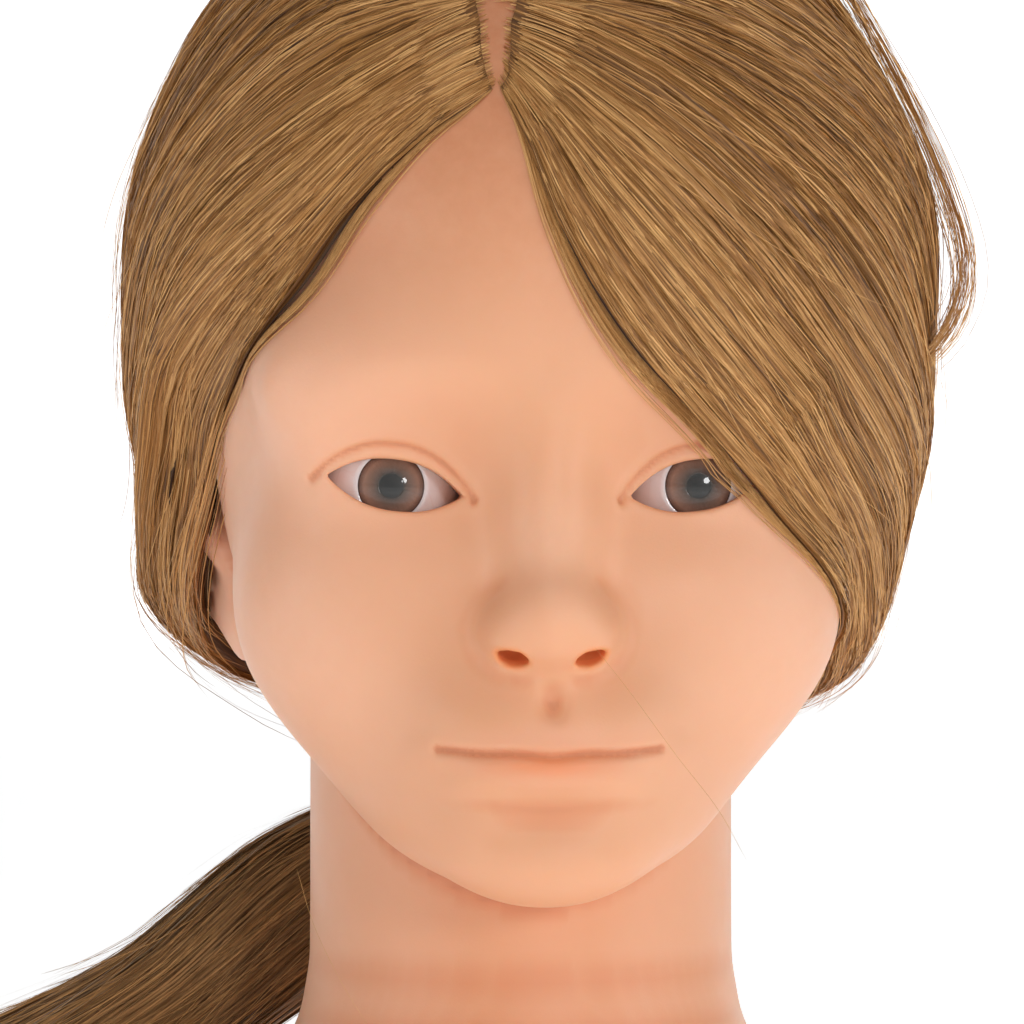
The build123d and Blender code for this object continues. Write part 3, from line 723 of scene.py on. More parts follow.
def skin_marks(item, points, faces):
    """For each point of the skin: how far it lies in a fold, and how near it is to each place where shade,
    light or colour is painted.
    """
    soft = points
    for _ in range(8):
        soft = neighbour_mean(soft, faces)
    # How far each point lies in a fold; it sets the painted shade in folds.
    cavity_shade = np.clip(((soft - points) * read_points(item, "normal")).sum(1) / 0.30, 0, 1)
    p = tuple(points.T)
    x, y, z = p
    ahead = y < -85
    lip = np.clip(1.35 - (x / 21.0) ** 2 - ((z - 104.0 - 0.003 * x * x) / 7.2) ** 2, 0, 1) * ahead
    # Mask of the painted shade along the mouth line.
    mouth_line_shade = np.exp(-np.square(np.maximum(polyline_tube(p, MOUTH_LINE, 0.0) - 0.3, 0) / 0.55))
    # Mask of the painted shade along the lid folds and round the eye openings.
    fold = np.minimum(*(polyline_tube(p, CREASES[side], 0.0) for side in (-1, 1)))
    rim = np.minimum(*(np.abs(almond(p, side)) for side in (-1, 1)))
    crease_shade = np.maximum(np.exp(-np.square(fold / 1.1)), 0.8 * np.exp(-np.square(rim / 0.9)))
    crease_shade *= (y < -70) & (np.abs(z - EYE_Z) < 16)
    # Mask of the painted warm glow under the mouth line.
    glow = np.exp(-np.square(x / 12.0) - np.square((z - 102.3) / 2.2)) * ahead
    # Mask of the painted shade inside the nostrils.
    inside = ellipsoid((np.abs(x), y, z), NOSTRIL, (3.4, 5.4, 2.8), 20)
    nostril_shade = np.clip(1.4 - inside, 0, 1) * ahead
    # Mask of the painted light on the nose bridge.
    bridge_light = np.exp(-np.square(x / 11.0) - np.square((z - 147.0) / 13.0)) * ahead
    return {"cavity_shade": cavity_shade, "lip": lip, "mouth_line_shade": mouth_line_shade, "crease_shade": crease_shade,
            "glow": glow, "nostril_shade": nostril_shade, "bridge_light": bridge_light}


def build_head():
    """The vinyl head, on a grid that is fine over the face."""
    fine, coarse = (0.75), 2.6
    xs = graded(-92, 92, -50, 50, fine, coarse)
    ys = graded(-122, 98, -116, -70, fine, coarse)
    zs = graded(-3, 306, 96, 178, fine, coarse)
    grid = np.meshgrid(xs, ys, zs, indexing="ij")
    values = np.empty(grid[0].shape, np.float32)
    slab = 24  # grid planes worked out at once, to save memory
    for i in range(0, len(xs), slab):
        values[i:i + slab] = head_field(tuple(g[i:i + slab].astype(np.float64) for g in grid))
    points, faces = surface_net(xs, ys, zs, values)
    points = settle(points, faces, head_field)
    head = mesh_object("vinyl_head", points, faces)
    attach(head, "head")
    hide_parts("head_skin")
    head.data.materials.append(skin_finish())
    write_marks(head, **skin_marks(head, points, faces))


build_head()


# ---- hair ---------------------------------------------------------------------------
TIE = np.array([0.0, 70.0, 105.0])
STATIONS = 64  # points along each guide line
COLUMNS = 140  # lines across each side's sheet
HAIR_Y, HAIR_Z = 2.0, 205.0  # middle of the combed hair's outside
HAIR_DEEP, HAIR_DROP = 111.0, 150.0  # its half depth and height above the middle, and height below
HAIR_WIDE = {1: 94.0, -1: 90.5}  # its half width on each side
HEAD_MIDDLE = np.array([0.0, 5.0, 190.0])
TAIL_TOP = np.array([0.0, 68.0, 112.0])


def catmull_rom(a, b, c, d, t):
    """Points at fractions t of the smooth run from b to c, between a and d."""
    return 0.5 * (2 * b + (c - a) * t + (2 * a - 5 * b + 4 * c - d) * t ** 2
                  + (3 * b - a - 3 * c + d) * t ** 3)


def spline_through(points, count):
    """Evenly spaced points on a smooth line through some points."""
    p = np.asarray(points, float)
    ends = np.vstack([2 * p[0] - p[1], p, 2 * p[-1] - p[-2]])
    t = np.linspace(0, 1, 24, endpoint=False)[:, None]
    runs = [catmull_rom(*four, t) for four in zip(ends[:-3], ends[1:-2], ends[2:-1], ends[3:])]
    line = np.vstack(runs + [p[-1:]])
    run = np.concatenate([[0], np.cumsum(np.linalg.norm(np.diff(line, axis=0), axis=1))])
    want = np.linspace(0, run[-1], count)
    return np.stack([np.interp(want, run, line[:, k]) for k in range(3)], axis=1)


def on_hair(side, kind, a, b, c=None):
    """A point on the outside of the hair, given in front, back, side or top view, or outright."""
    if kind == "at":
        return (a, b, c)
    width = HAIR_WIDE[side]
    tall = HAIR_DROP if b < HAIR_Z else HAIR_DEEP
    if kind in "fb":
        rest = 1 - (a / width) ** 2 - ((b - HAIR_Z) / tall) ** 2
        return (a, HAIR_Y + (-1 if kind == "f" else 1) * HAIR_DEEP * math.sqrt(max(rest, 0.0)), b)
    if kind == "s":
        rest = 1 - ((a - HAIR_Y) / HAIR_DEEP) ** 2 - ((b - HAIR_Z) / tall) ** 2
        return (side * width * math.sqrt(max(rest, 0.0)), a, b)
    rest = 1 - (a / width) ** 2 - ((b - HAIR_Y) / HAIR_DEEP) ** 2
    return (a, b, HAIR_Z + HAIR_DEEP * math.sqrt(max(rest, 0.0)))


def at_tie(degrees):
    """The last two points of a line that runs into the hair band."""
    c, s = math.cos(math.radians(degrees)), math.sin(math.radians(degrees))
    return [("at", TIE[0] + r * c, TIE[1] + r * s, z) for r, z in ((13.2, 112.0), (10.4, 104.5))]


LINES_LEFT = (  # from the parting over the head's left side to the hair band, front to back
    [("f", -8.6, 246), ("f", 1.5, 217), ("f", 19, 188), ("f", 40.5, 165.5), ("f", 54, 148),
     ("at", 60, -58, 134), ("at", 62, -36, 117), ("at", 57, 0, 110), ("at", 40, 38, 108)] + at_tie(-25),
    [("f", -7.0, 252), ("f", 14, 225), ("f", 40, 193), ("f", 60, 168), ("s", -50, 146), ("at", 76, -26, 124),
     ("at", 66, 10, 113), ("at", 40, 44, 109)] + at_tie(0),
    [("f", -6.0, 262), ("f", 28, 240), ("f", 59, 208), ("s", -40, 174), ("s", -16, 145), ("at", 79, 10, 124),
     ("at", 60, 36, 114), ("at", 30, 57, 110)] + at_tie(20),
    [("f", -5.8, 275), ("f", 35, 266), ("s", -46, 232), ("s", -16, 188), ("s", 8, 154), ("at", 80, 30, 129),
     ("at", 57, 50, 116), ("at", 28, 62, 111)] + at_tie(35),
    [("t", -6.4, -35), ("t", 44, -32), ("s", -20, 236), ("s", 10, 193), ("s", 32, 157), ("at", 74, 50, 131),
     ("at", 48, 63, 117), ("at", 21, 70, 111)] + at_tie(50),
    [("t", -8.4, 0), ("t", 48, 6), ("s", 20, 238), ("s", 42, 195), ("s", 58, 160), ("at", 60, 67, 134),
     ("at", 36, 73, 118), ("at", 16, 75, 111)] + at_tie(65),
    [("t", -9.6, 30), ("t", 40, 46), ("s", 66, 235), ("b", 58, 195), ("b", 48, 160), ("at", 38, 83, 136),
     ("at", 21, 81, 119), ("at", 9, 79, 112)] + at_tie(78),
    [("t", -10.5, 46), ("b", 18, 258), ("b", 28, 222), ("b", 27, 190), ("b", 22, 158), ("at", 18, 90, 136),
     ("at", 10, 84, 119.5), ("at", 4.5, 80.5, 112.5)] + at_tie(85),
    [("t", -12, 58), ("b", -9, 262), ("b", -4, 225), ("b", -3, 190), ("b", -2, 158), ("at", -1.5, 92, 136),
     ("at", -1, 85, 120), ("at", -0.5, 81, 113)] + at_tie(91),
)
LINES_RIGHT = (
    [("f", -13.6, 246), ("f", -25, 238), ("f", -45.5, 219), ("f", -59.5, 195), ("at", -67.5, -47, 176),
     ("at", -70.5, -32, 166), ("at", -72.5, -18, 151), ("at", -74.5, -3, 136), ("at", -71, 16, 123),
     ("at", -60, 36, 115), ("at", -38, 53, 111.5)] + at_tie(205),
    [("f", -16.0, 252), ("f", -35, 240), ("f", -59, 214), ("s", -48, 190), ("s", -24, 170),
     ("at", -86.5, 2, 148), ("at", -83, 24, 131), ("at", -66, 41, 118), ("at", -34, 58, 111)] + at_tie(190),
    [("f", -17.6, 262), ("f", -47, 242), ("s", -56, 211), ("s", -28, 180), ("s", 0, 156),
     ("at", -86, 30, 135), ("at", -66, 47, 119), ("at", -34, 61, 111)] + at_tie(172),
    [("f", -18.0, 275), ("f", -50, 265), ("s", -42, 226), ("s", -8, 188), ("s", 22, 156),
     ("at", -81, 45, 132), ("at", -57, 57, 118), ("at", -29, 65, 111)] + at_tie(155),
    [("t", -17.0, -35), ("t", -55, -30), ("s", -18, 232), ("s", 14, 190), ("s", 38, 155),
     ("at", -72, 56, 131), ("at", -47, 65, 117), ("at", -21, 71, 111)] + at_tie(138),
    [("t", -15.0, 0), ("t", -55, 6), ("s", 20, 238), ("s", 42, 195), ("s", 58, 160), ("at", -60, 67, 134),
     ("at", -36, 73, 118), ("at", -16, 75, 111)] + at_tie(120),
    [("t", -13.4, 30), ("t", -50, 46), ("s", 66, 235), ("b", -60, 195), ("b", -48, 160), ("at", -38, 83, 136),
     ("at", -21, 81, 119), ("at", -9, 79, 112)] + at_tie(103),
    [("t", -12.5, 46), ("b", -28, 258), ("b", -30, 222), ("b", -28, 190), ("b", -22, 158),
     ("at", -18, 90, 136), ("at", -10, 84, 119.5), ("at", -4.5, 80.5, 112.5)] + at_tie(97),
    [("t", -10.5, 58), ("b", -2, 262), ("b", 4, 225), ("b", 3, 190), ("b", 2, 158), ("at", 1.5, 92, 136),
     ("at", 1, 85, 120), ("at", 0.5, 81, 113)] + at_tie(89),
)


def blend_lines(lines, columns):
    """A sheet through some lines: columns by STATIONS points."""
    grid = np.stack(lines)
    last = len(lines) - 1
    ends = np.concatenate([2 * grid[:1] - grid[1:2], grid, 2 * grid[-1:] - grid[-2:-1]])
    u = np.linspace(0, last, columns)
    i = np.minimum(u.astype(int), last - 1)
    return catmull_rom(ends[i], ends[i + 1], ends[i + 2], ends[i + 3], (u - i)[:, None, None])


def sheet_normals(sheet, side, s):
    """Normals of a sheet that face away from the head's middle, or from the tied hair at the end."""
    normal = unit(np.cross(np.gradient(sheet, axis=1), np.gradient(sheet, axis=0)) * side)
    late = step(0.6, 1.0, s)[..., None]
    out = unit(sheet - ((1 - late) * HEAD_MIDDLE + late * TAIL_TOP))
    sure = step(0.0, 0.45, (normal * out).sum(-1))[..., None]
    return unit(normal * sure + out * (1 - sure))


def value_noise(u, v, seed, rows=64, columns=4096):
    """Smooth noise on a plane, about -1 to 1, one wave for each unit of u and v."""
    table = np.random.default_rng(seed).uniform(-1, 1, (columns, rows))
    iu, iv = np.floor(u).astype(int), np.floor(v).astype(int)
    fu, fv = u - iu, v - iv
    fu, fv = step(0, 1, fu), step(0, 1, fv)
    a, b = table[iu % columns, iv % rows], table[(iu + 1) % columns, iv % rows]
    c, d = table[iu % columns, (iv + 1) % rows], table[(iu + 1) % columns, (iv + 1) % rows]
    return (a * (1 - fu) + b * fu) * (1 - fv) + (c * (1 - fu) + d * fu) * fv


def grooves(u, v, seed):
    """Height of combed hair, in millimetres, for a place u across and v along the strands."""
    u = u + 2.5 * value_noise(u / 30, v / 110, seed + 5)
    return (0.55 * value_noise(u / 9, v / 190, seed) + 0.34 * value_noise(u / 3.4, v / 140, seed + 1)
            + 0.20 * value_noise(u / 1.5, v / 110, seed + 2))


def sample(sheet, t, s):
    """Points of a sheet at fractions t across and s along."""
    a, b = t * (sheet.shape[0] - 1), s * (sheet.shape[1] - 1)
    i, j = np.clip(a.astype(int), 0, sheet.shape[0] - 2), np.clip(b.astype(int), 0, sheet.shape[1] - 2)
    fa, fb = a - i, b - j
    if sheet.ndim == 3:
        fa, fb = fa[..., None], fb[..., None]
    return ((sheet[i, j] * (1 - fa) + sheet[i + 1, j] * fa) * (1 - fb)
            + (sheet[i, j + 1] * (1 - fa) + sheet[i + 1, j + 1] * fa) * fb)


def grid_faces(columns, rows, wrap=False):
    """Quads of a sheet of points, closed round its columns if wrap is set."""
    i = np.arange(columns if wrap else columns - 1)[:, None]
    j = np.arange(rows - 1)[None, :]
    k = (i + 1) % columns
    return np.stack([i * rows + j, k * rows + j, k * rows + j + 1, i * rows + j + 1], axis=-1).reshape(-1, 4)


def ribbons(paths, normals, widths, rolls):
    """Flat tapering strands along paths (count by stations by 3)."""
    along = unit(np.gradient(paths, axis=1))
    across = unit(np.cross(along, normals))
    c, s = np.cos(rolls)[:, None, None], np.sin(rolls)[:, None, None]
    lateral = c * across + s * np.cross(across, along)
    fade = np.linspace(0, 1, paths.shape[1])
    fade = np.clip(np.minimum(fade * 14 + 0.35, (1 - fade) * 9 + 0.12), 0, 1)
    half = widths[:, None, None] * 0.5 * fade[None, :, None]
    points = np.stack([paths - lateral * half, paths + lateral * half], axis=2)
    n, m = paths.shape[:2]
    base = (np.arange(n) * m * 2)[:, None] + (np.arange(m - 1) * 2)[None, :]
    faces = np.stack([base, base + 1, base + 3, base + 2], axis=-1).reshape(-1, 4)
    return points.reshape(-1, 3), faces


def write_flow(item, across, along, shade, cavity_shade, repeats=1):
    """Keeps for each point: millimetres across and along the hair, its tone, and its depth in a groove, which
    sets its painted shade.
    """
    names = ("across", "along", "shade", "cavity_shade")
    layers = np.broadcast_arrays(across, along, shade, cavity_shade)
    write_marks(item, **{name: np.repeat(layer, repeats) for name, layer in zip(names, layers)})


def above_skin(points):
    """Height of a block of points over the skin."""
    return head_field(tuple(points.reshape(-1, 3).T)).reshape(points.shape[:-1])


class Locks:
    """One side of the hair: the sheet of its outside and everything that is made from it."""

    def __init__(self, side, lines, seed):
        self.side, self.seed = side, seed
        sheet = blend_lines([spline_through([on_hair(side, *p) for p in line], STATIONS) for line in lines],
                            COLUMNS)
        t = np.linspace(0, len(lines) - 1, COLUMNS)[:, None]
        s = np.linspace(0, 1, STATIONS)[None, :]
        ss = s + 0 * t
        normal = sheet_normals(sheet, side, ss)
        gap = np.clip(above_skin(sheet), 0, 17)
        edge = 0.62 * (1 - step(0.0, 1.2, t)) * (1 - step(0.42, 0.62, s))
        root = 0.96 * (1 - step(-0.02, 0.27, s))
        sink = gap * (1 - (1 - edge) * (1 - root))
        sheet = sheet - normal * sink[..., None]
        for _ in range(3):
            short = np.maximum(0.9 - above_skin(sheet), 0)
            sheet = sheet + normal * short[..., None] * step(0.01, 0.06, s)[..., None]
        self.sheet, self.normal = sheet, sheet_normals(sheet, side, ss)
        self.gap = gap - sink
        self.run = np.linalg.norm(np.diff(sheet[:, STATIONS // 2], axis=0), axis=1).sum()
        self.length = np.linalg.norm(np.diff(sheet, axis=1), axis=-1).sum(1).mean()

    def height(self, t, s):
        """Height of the combed surface over the sheet, quieter at the roots and the band."""
        quiet = step(0.0, 0.10, s) * (1 - 0.6 * step(0.85, 1.0, s))
        return grooves(t * self.run, s * self.length, self.seed) * (0.25 + 0.75 * quiet)

    def front_roll(self, outer, normal, thick, s, steps=9, pitch=1.1):
        """Rows of points that turn from the inside round the front edge to the outside."""
        lateral = unit(outer[6] - outer[0])
        rows = []
        for k in range(1, steps):
            bend = math.sin(math.pi / 2 * (1 - k / steps))
            point = outer[0] - normal[0] * thick * bend + lateral * thick * 0.42 * bend ** 2
            across = np.full(s.shape[1], -(steps - k) * pitch)
            bump = grooves(across, s[0] * self.length, self.seed)
            rows.append(point + normal[0] * 0.8 * bump[:, None])
        return np.stack(rows), -np.linspace(steps, 1, steps - 1)[:, None] * pitch

    def shell(self, name, columns=460, rows=60, inner=40):
        """A closed thick sheet: grooved outside, rolled front edge, plain inside."""
        s = np.linspace(0, 1, rows)[None, :]
        tt, ss = np.broadcast_arrays(np.linspace(0, 1, columns)[:, None], s)
        outer, normal = sample(self.sheet, tt, ss), sample(self.normal, tt, ss)
        height = self.height(tt, ss)
        it, js = np.broadcast_arrays(np.linspace(1, 0, inner)[:, None], s)
        thick = np.clip(sample(self.gap, it, js), 0.6, 9.0) * (1 - 0.75 * step(0.86, 1.0, js))
        under = sample(self.sheet, it, js) - sample(self.normal, it, js) * thick[..., None]
        roll, roll_across = self.front_roll(outer, normal, thick[-1][:, None], s)
        points = np.concatenate([under, roll, outer + normal * height[..., None]])
        roll_across = np.broadcast_to(roll_across, roll.shape[:2])
        across = np.concatenate([it * self.run, roll_across, tt * self.run])
        # Painted shade: the underside and the rolled edge are marked as deep in a groove, so they are painted
        # dark.
        cavity_shade = np.concatenate([np.full(it.shape, -1.5), np.full(roll.shape[:2], -0.5), height])
        faces = grid_faces(len(points), rows)
        item = mesh_object(name, points.reshape(-1, 3), faces[:, ::-1] if self.side < 0 else faces)
        # Painted shade: the shell's tone is kept darker than the strands', so the gaps between strands read
        # as shade.
        write_flow(item, across, s * self.length, 0.26, cavity_shade)
        return item

    def strands(self, name, count, stations, seed):
        """Ribbons over the shell, drawn together in locks, more of them near the front edge."""
        rng = np.random.default_rng(seed)
        t = rng.beta(0.9, 1.0, count)
        begin = np.where(rng.random(count) < 0.55, 0.0, rng.uniform(0.0, 0.45, count))
        end = np.where(rng.random(count) < 0.6, 1.0, rng.uniform(0.6, 0.98, count))
        s = begin[:, None] + (end - begin)[:, None] * np.linspace(0, 1, stations)[None, :]
        number = np.arange(count)[:, None]
        clump = np.round(t * 150) / 150 + rng.normal(0, 0.0008, count)
        wander = 0.006 * value_noise(number * 1.37, s * 3.0, seed + 3) * step(0.03, 0.3, s)
        tt = np.clip(t[:, None] + (clump - t)[:, None] * 0.45 * step(0.1, 0.6, s) + wander, 0, 1)
        tuft = np.round(tt * 90) / 90
        tt = tt + (tuft - tt) * 0.9 * (1 - step(0.0, 0.05, s))
        place, normal = sample(self.sheet, tt, s), sample(self.normal, tt, s)
        up = rng.uniform(0.15, 1.1, count)[:, None] * step(0.0, 0.06, s)
        up = up + 0.07 * value_noise(number * 2.11, s * 5.0, seed + 4) * step(0.02, 0.2, s)
        path = place + normal * (self.height(tt, s) + up)[..., None]
        widths = rng.uniform(0.16, 0.33, count)
        item = mesh_object(name, *ribbons(path, normal, widths, rng.normal(0, 0.5, count)))
        write_flow(item, tt * self.run, s * self.length, rng.beta(2.2, 2.2, count)[:, None], 0.6, 2)
        return item


left_hair = Locks(1, LINES_LEFT, 11)
right_hair = Locks(-1, LINES_RIGHT, 23)
hair_pieces = [left_hair.shell("hair_shell_left"), right_hair.shell("hair_shell_right"),
               left_hair.strands("hair_strands_left", 8600, 20, 101),
               right_hair.strands("hair_strands_right", 8600, 20, 202)]
for item in hair_pieces:
    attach(item, "head")
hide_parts("hair_front_left", "hair_back")
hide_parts("hair_front_right", "hair_nape")


def thin_hairs(name, paths, widths, seed, body):
    """Single hairs along given paths, each turned at random."""
    rng = np.random.default_rng(seed)
    paths = np.asarray(paths)
    count, stations = paths.shape[:2]
    out = unit(paths - np.array([0.0, 10.0, 170.0]))
    item = mesh_object(name, *ribbons(paths, out, widths, rng.uniform(-1.2, 1.2, count)))
    # Painted light: the thin hairs get a light tone, standing in for light that shines through them.
    shade = rng.beta(6.0, 1.5, count)[:, None]
    write_flow(item, np.arange(count)[:, None] * 3.3, np.linspace(0, 150, stations), shade, 0.5, 2)
    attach(item, body)
    hair_pieces.append(item)


def edge_hairs(locks, count, seed, stations=24):
    """Paths of fine hairs that lie on the skin just ahead of the front edge."""
    rng = np.random.default_rng(seed)
    x = np.linspace(0.0, 1.0, stations)[None, :]
    s = x * rng.uniform(0.30, 0.46, count)[:, None] + rng.uniform(0, 0.06, count)[:, None]
    ahead = rng.gamma(1.4, 0.8, count)[:, None] * np.sin(np.pi * np.linspace(0.04, 0.9, stations))[None, :]
    flat = np.zeros_like(s)
    edge, normal = sample(locks.sheet, flat, s), sample(locks.normal, flat, s)
    path = edge + unit(edge - sample(locks.sheet, flat + 0.03, s)) * ahead[..., None]
    for _ in range(2):
        path = path - normal * (above_skin(path) - 0.35 - 0.10 * ahead)[..., None]
    return path


def root_tufts(locks, rows, seed, stations=12):
    """Paths of the first stretch of hair: tufts that leave the scalp in rows beside the parting."""
    rng = np.random.default_rng(seed)
    paths = []
    for row in range(rows):
        t = (row + 0.5) / rows * 0.80
        for rank in (0, 1):
            tt = t + (rank * 0.5 + rng.normal(0, 0.12)) / rows * 0.8
            for _ in range(7):
                ts = np.full(3, np.clip(tt + rng.normal(0, 0.0012), 0, 1))
                s = np.clip(np.array([0.0, 0.012, 0.045]) + rng.normal(0, 0.002, 3), 0, 1)
                place, normal = sample(locks.sheet, ts, s), sample(locks.normal, ts, s)
                root = place[0] + (place[0] - place[1]) * (0.15 + 0.55 * rank)
                root = root - normal[0] * (above_skin(root) + 0.3)
                top = place[1] + normal[1] * rng.uniform(0.8, 1.5)
                end = place[2] + normal[2] * rng.uniform(0.5, 1.0)
                x = np.linspace(0, 1, stations)[:, None]
                paths.append(root * (1 - x) ** 2 + 2 * top * x * (1 - x) + end * x ** 2)
    return np.array(paths)


def flyaways(locks, count, seed, stations=18):
    """Paths of single hairs that leave the combed surface for a while and come back or stay off."""
    rng = np.random.default_rng(seed)
    t = rng.beta(0.7, 1.0, count)
    begin = rng.uniform(0.02, 0.75, count)
    size = rng.uniform(0.12, 0.42, count)
    x = np.linspace(0, 1, stations)[None, :]
    s = np.clip(begin[:, None] + size[:, None] * x, 0, 0.97)
    drift = rng.normal(0, 0.035, count)[:, None] * x ** 1.5
    tt = np.clip(t[:, None] + drift, 0, 1)
    place, normal = sample(locks.sheet, tt, s), sample(locks.normal, tt, s)
    off = 0.7 + rng.gamma(1.5, 1.5, count)[:, None] * x ** rng.uniform(0.8, 2.0, count)[:, None]
    wave = 0.5 * value_noise(np.arange(count)[:, None] * 1.9, x * 2.5 + 3, seed + 1)
    off = off * (1 + 0.3 * step(0.45, 0.85, s))
    return place + normal * (off + wave)[..., None]


def lock_paths(guide, count, seed, start, end, stations=22):
    """Hairs of a loose lock round one guide line, start and end millimetres wide."""
    rng = np.random.default_rng(seed)
    line = spline_through(guide, stations)
    x = np.linspace(0, 1, stations)[None, :, None]
    first, last = rng.normal(0, 1, (count, 1, 3)), rng.normal(0, 1, (count, 1, 3))
    spread = first * start * (1 - x) + (0.5 * first + last) * end * x ** 1.4
    bow = rng.normal(0, 1, (count, 1, 3)) * 1.6 * np.sin(np.pi * x)
    paths = line[None] + spread + bow
    cuts = rng.uniform(0.86, 1.0, count)
    even = np.arange(stations)
    return np.array([[np.interp(even * cut, even, path[:, c]) for c in range(3)]
                     for cut, path in zip(cuts, paths)]).transpose(0, 2, 1)


rng = np.random.default_rng(909)
edges = np.concatenate([edge_hairs(left_hair, 220, 31), edge_hairs(right_hair, 220, 33)])
thin_hairs("hair_edge", edges, rng.uniform(0.10, 0.20, len(edges)), 35, "head")
tufts = np.concatenate([root_tufts(left_hair, 84, 37), root_tufts(right_hair, 84, 38)])
thin_hairs("hair_roots", tufts, rng.uniform(0.16, 0.26, len(tufts)), 39, "head")
loose = np.concatenate([flyaways(left_hair, 560, 41), flyaways(right_hair, 620, 43)])
thin_hairs("hair_flyaways", loose, rng.uniform(0.10, 0.18, len(loose)), 51, "head")
LOOSE_LOCK = [(66, -20, 281), (75, -22, 268), (86, -24, 247), (94.5, -26, 227), (98.5, -28, 211),
              (96, -30, 198), (88, -33, 188), (77, -37, 181)]
lock = lock_paths(LOOSE_LOCK, 90, 61, 1.3, 1.5)
thin_hairs("hair_loose_lock", lock, rng.uniform(0.14, 0.24, len(lock)), 62, "head")
EAR_LOCK = [(-57, -66, 200), (-66, -52, 178), (-71.5, -36, 158), (-76, -20, 140), (-75, 2, 127),
            (-66, 22, 119)]
lock = lock_paths(EAR_LOCK, 44, 63, 1.6, 3.2)
thin_hairs("hair_ear_lock", lock, rng.uniform(0.12, 0.22, len(lock)), 64, "head")
FACE_HAIRS = [
    [(8, -112, 127), (16, -109, 117), (26, -101, 104), (36, -88, 92), (44, -70, 80)],
    [(-52, -52, 77), (-48, -52, 64), (-41, -52, 50), (-33, -54, 38)],
]
fine_hairs = np.stack([spline_through(line, 22) for line in FACE_HAIRS])
thin_hairs("hair_strays", fine_hairs, np.full(len(fine_hairs), 0.10), 71, "head")

# ---- ponytail -----------------------------------------------------------------------
TAIL = (  # centre, half height and half width of the tied hair's sections
    ((0.0, 70.0, 103.4), 9.6, 9.6),
    ((-0.3, 70.0, 97.5), 10.6, 10.4),
    ((-8.0, 70.0, 86.0), 13.0, 12.0),
    ((-25.0, 68.5, 72.0), 18.0, 13.0),
    ((-50.0, 62.0, 57.0), 21.0, 14.0),
    ((-82.0, 46.0, 35.0), 18.5, 16.0),
    ((-112.0, 21.0, 21.5), 17.5, 20.0),
    ((-134.0, -10.0, 16.5), 14.5, 24.0),
    ((-144.0, -44.0, 12.0), 10.5, 23.0),
    ((-145.0, -78.0, 8.0), 6.6, 17.0),
    ((-138.0, -106.0, 5.0), 3.2, 8.0),
)
ROWS = 90
GROOVES, GIRTH = 110, 17.5  # ridges round the tail, and its mean radius for the streaks


def level_direction(line, first, other):
    """The level direction across a line, held steady where the line runs straight down."""
    across = np.cross(line, other)
    across[:first] = across[first]
    return across


tail_centre = np.array([row[0] for row in TAIL], float)
tail_gap = np.concatenate([[0], np.cumsum(np.linalg.norm(np.diff(tail_centre, axis=0), axis=1))])
TAIL_LENGTH = tail_gap[-1]
tail_percent = tail_gap / TAIL_LENGTH * 100
tail_line = spline_through(tail_centre, ROWS)
percent = np.linspace(0, 1, ROWS) * 100
tail_tall, tail_wide = (smooth_curve(tail_percent, [row[k] for row in TAIL], 0, 100, 1.5)(percent)
                        for k in (1, 2))
tail_along = unit(np.gradient(tail_line, axis=0))
level = unit(level_direction(tail_along, 8, (0, 0, 1.0)))
level[:12] = level[12]
tail_up = unit(np.cross(level, tail_along))


def tail_point(angle, s, size):
    """Place on the ponytail: angle round it, fraction along it and distance from its middle line."""
    j, rows = s * (ROWS - 1), np.arange(ROWS)
    centre, side, up = (np.stack([np.interp(j, rows, table[:, k]) for k in range(3)], axis=-1)
                        for table in (tail_line, level, tail_up))
    wide, tall = np.interp(j, rows, tail_wide), np.interp(j, rows, tail_tall)
    out = side * (wide * np.cos(angle) * size)[..., None] + up * (tall * np.sin(angle) * size)[..., None]
    point = centre + out
    point[..., 2] = np.maximum(point[..., 2], 0.8)  # it lies on the table
    return point, out


def tail_grooves(angle, s):
    """Height of the combed tail's grooves."""
    return grooves(angle / (2 * math.pi) * GROOVES, s * TAIL_LENGTH, 77)


def build_tail_core(columns=200):
    """The closed bundle under the strands."""
    angle = np.linspace(0, 2 * math.pi, columns, endpoint=False)[:, None]
    angle, s = np.broadcast_arrays(angle, np.linspace(0, 1, ROWS)[None, :])
    bump = tail_grooves(angle, s)
    size = (0.86 + 0.045 * bump * step(0.03, 0.2, s)) * (1 - 0.7 * step(0.80, 1.0, s))
    point = tail_point(angle, s, size)[0]
    item = mesh_object("ponytail_core", point.reshape(-1, 3), grid_faces(columns, ROWS, wrap=True))
    # Painted shade: the core's tone is kept darker than the strands', so the gaps between strands read as
    # shade.
    write_flow(item, angle * GIRTH, s * TAIL_LENGTH, 0.22, bump)
    return item


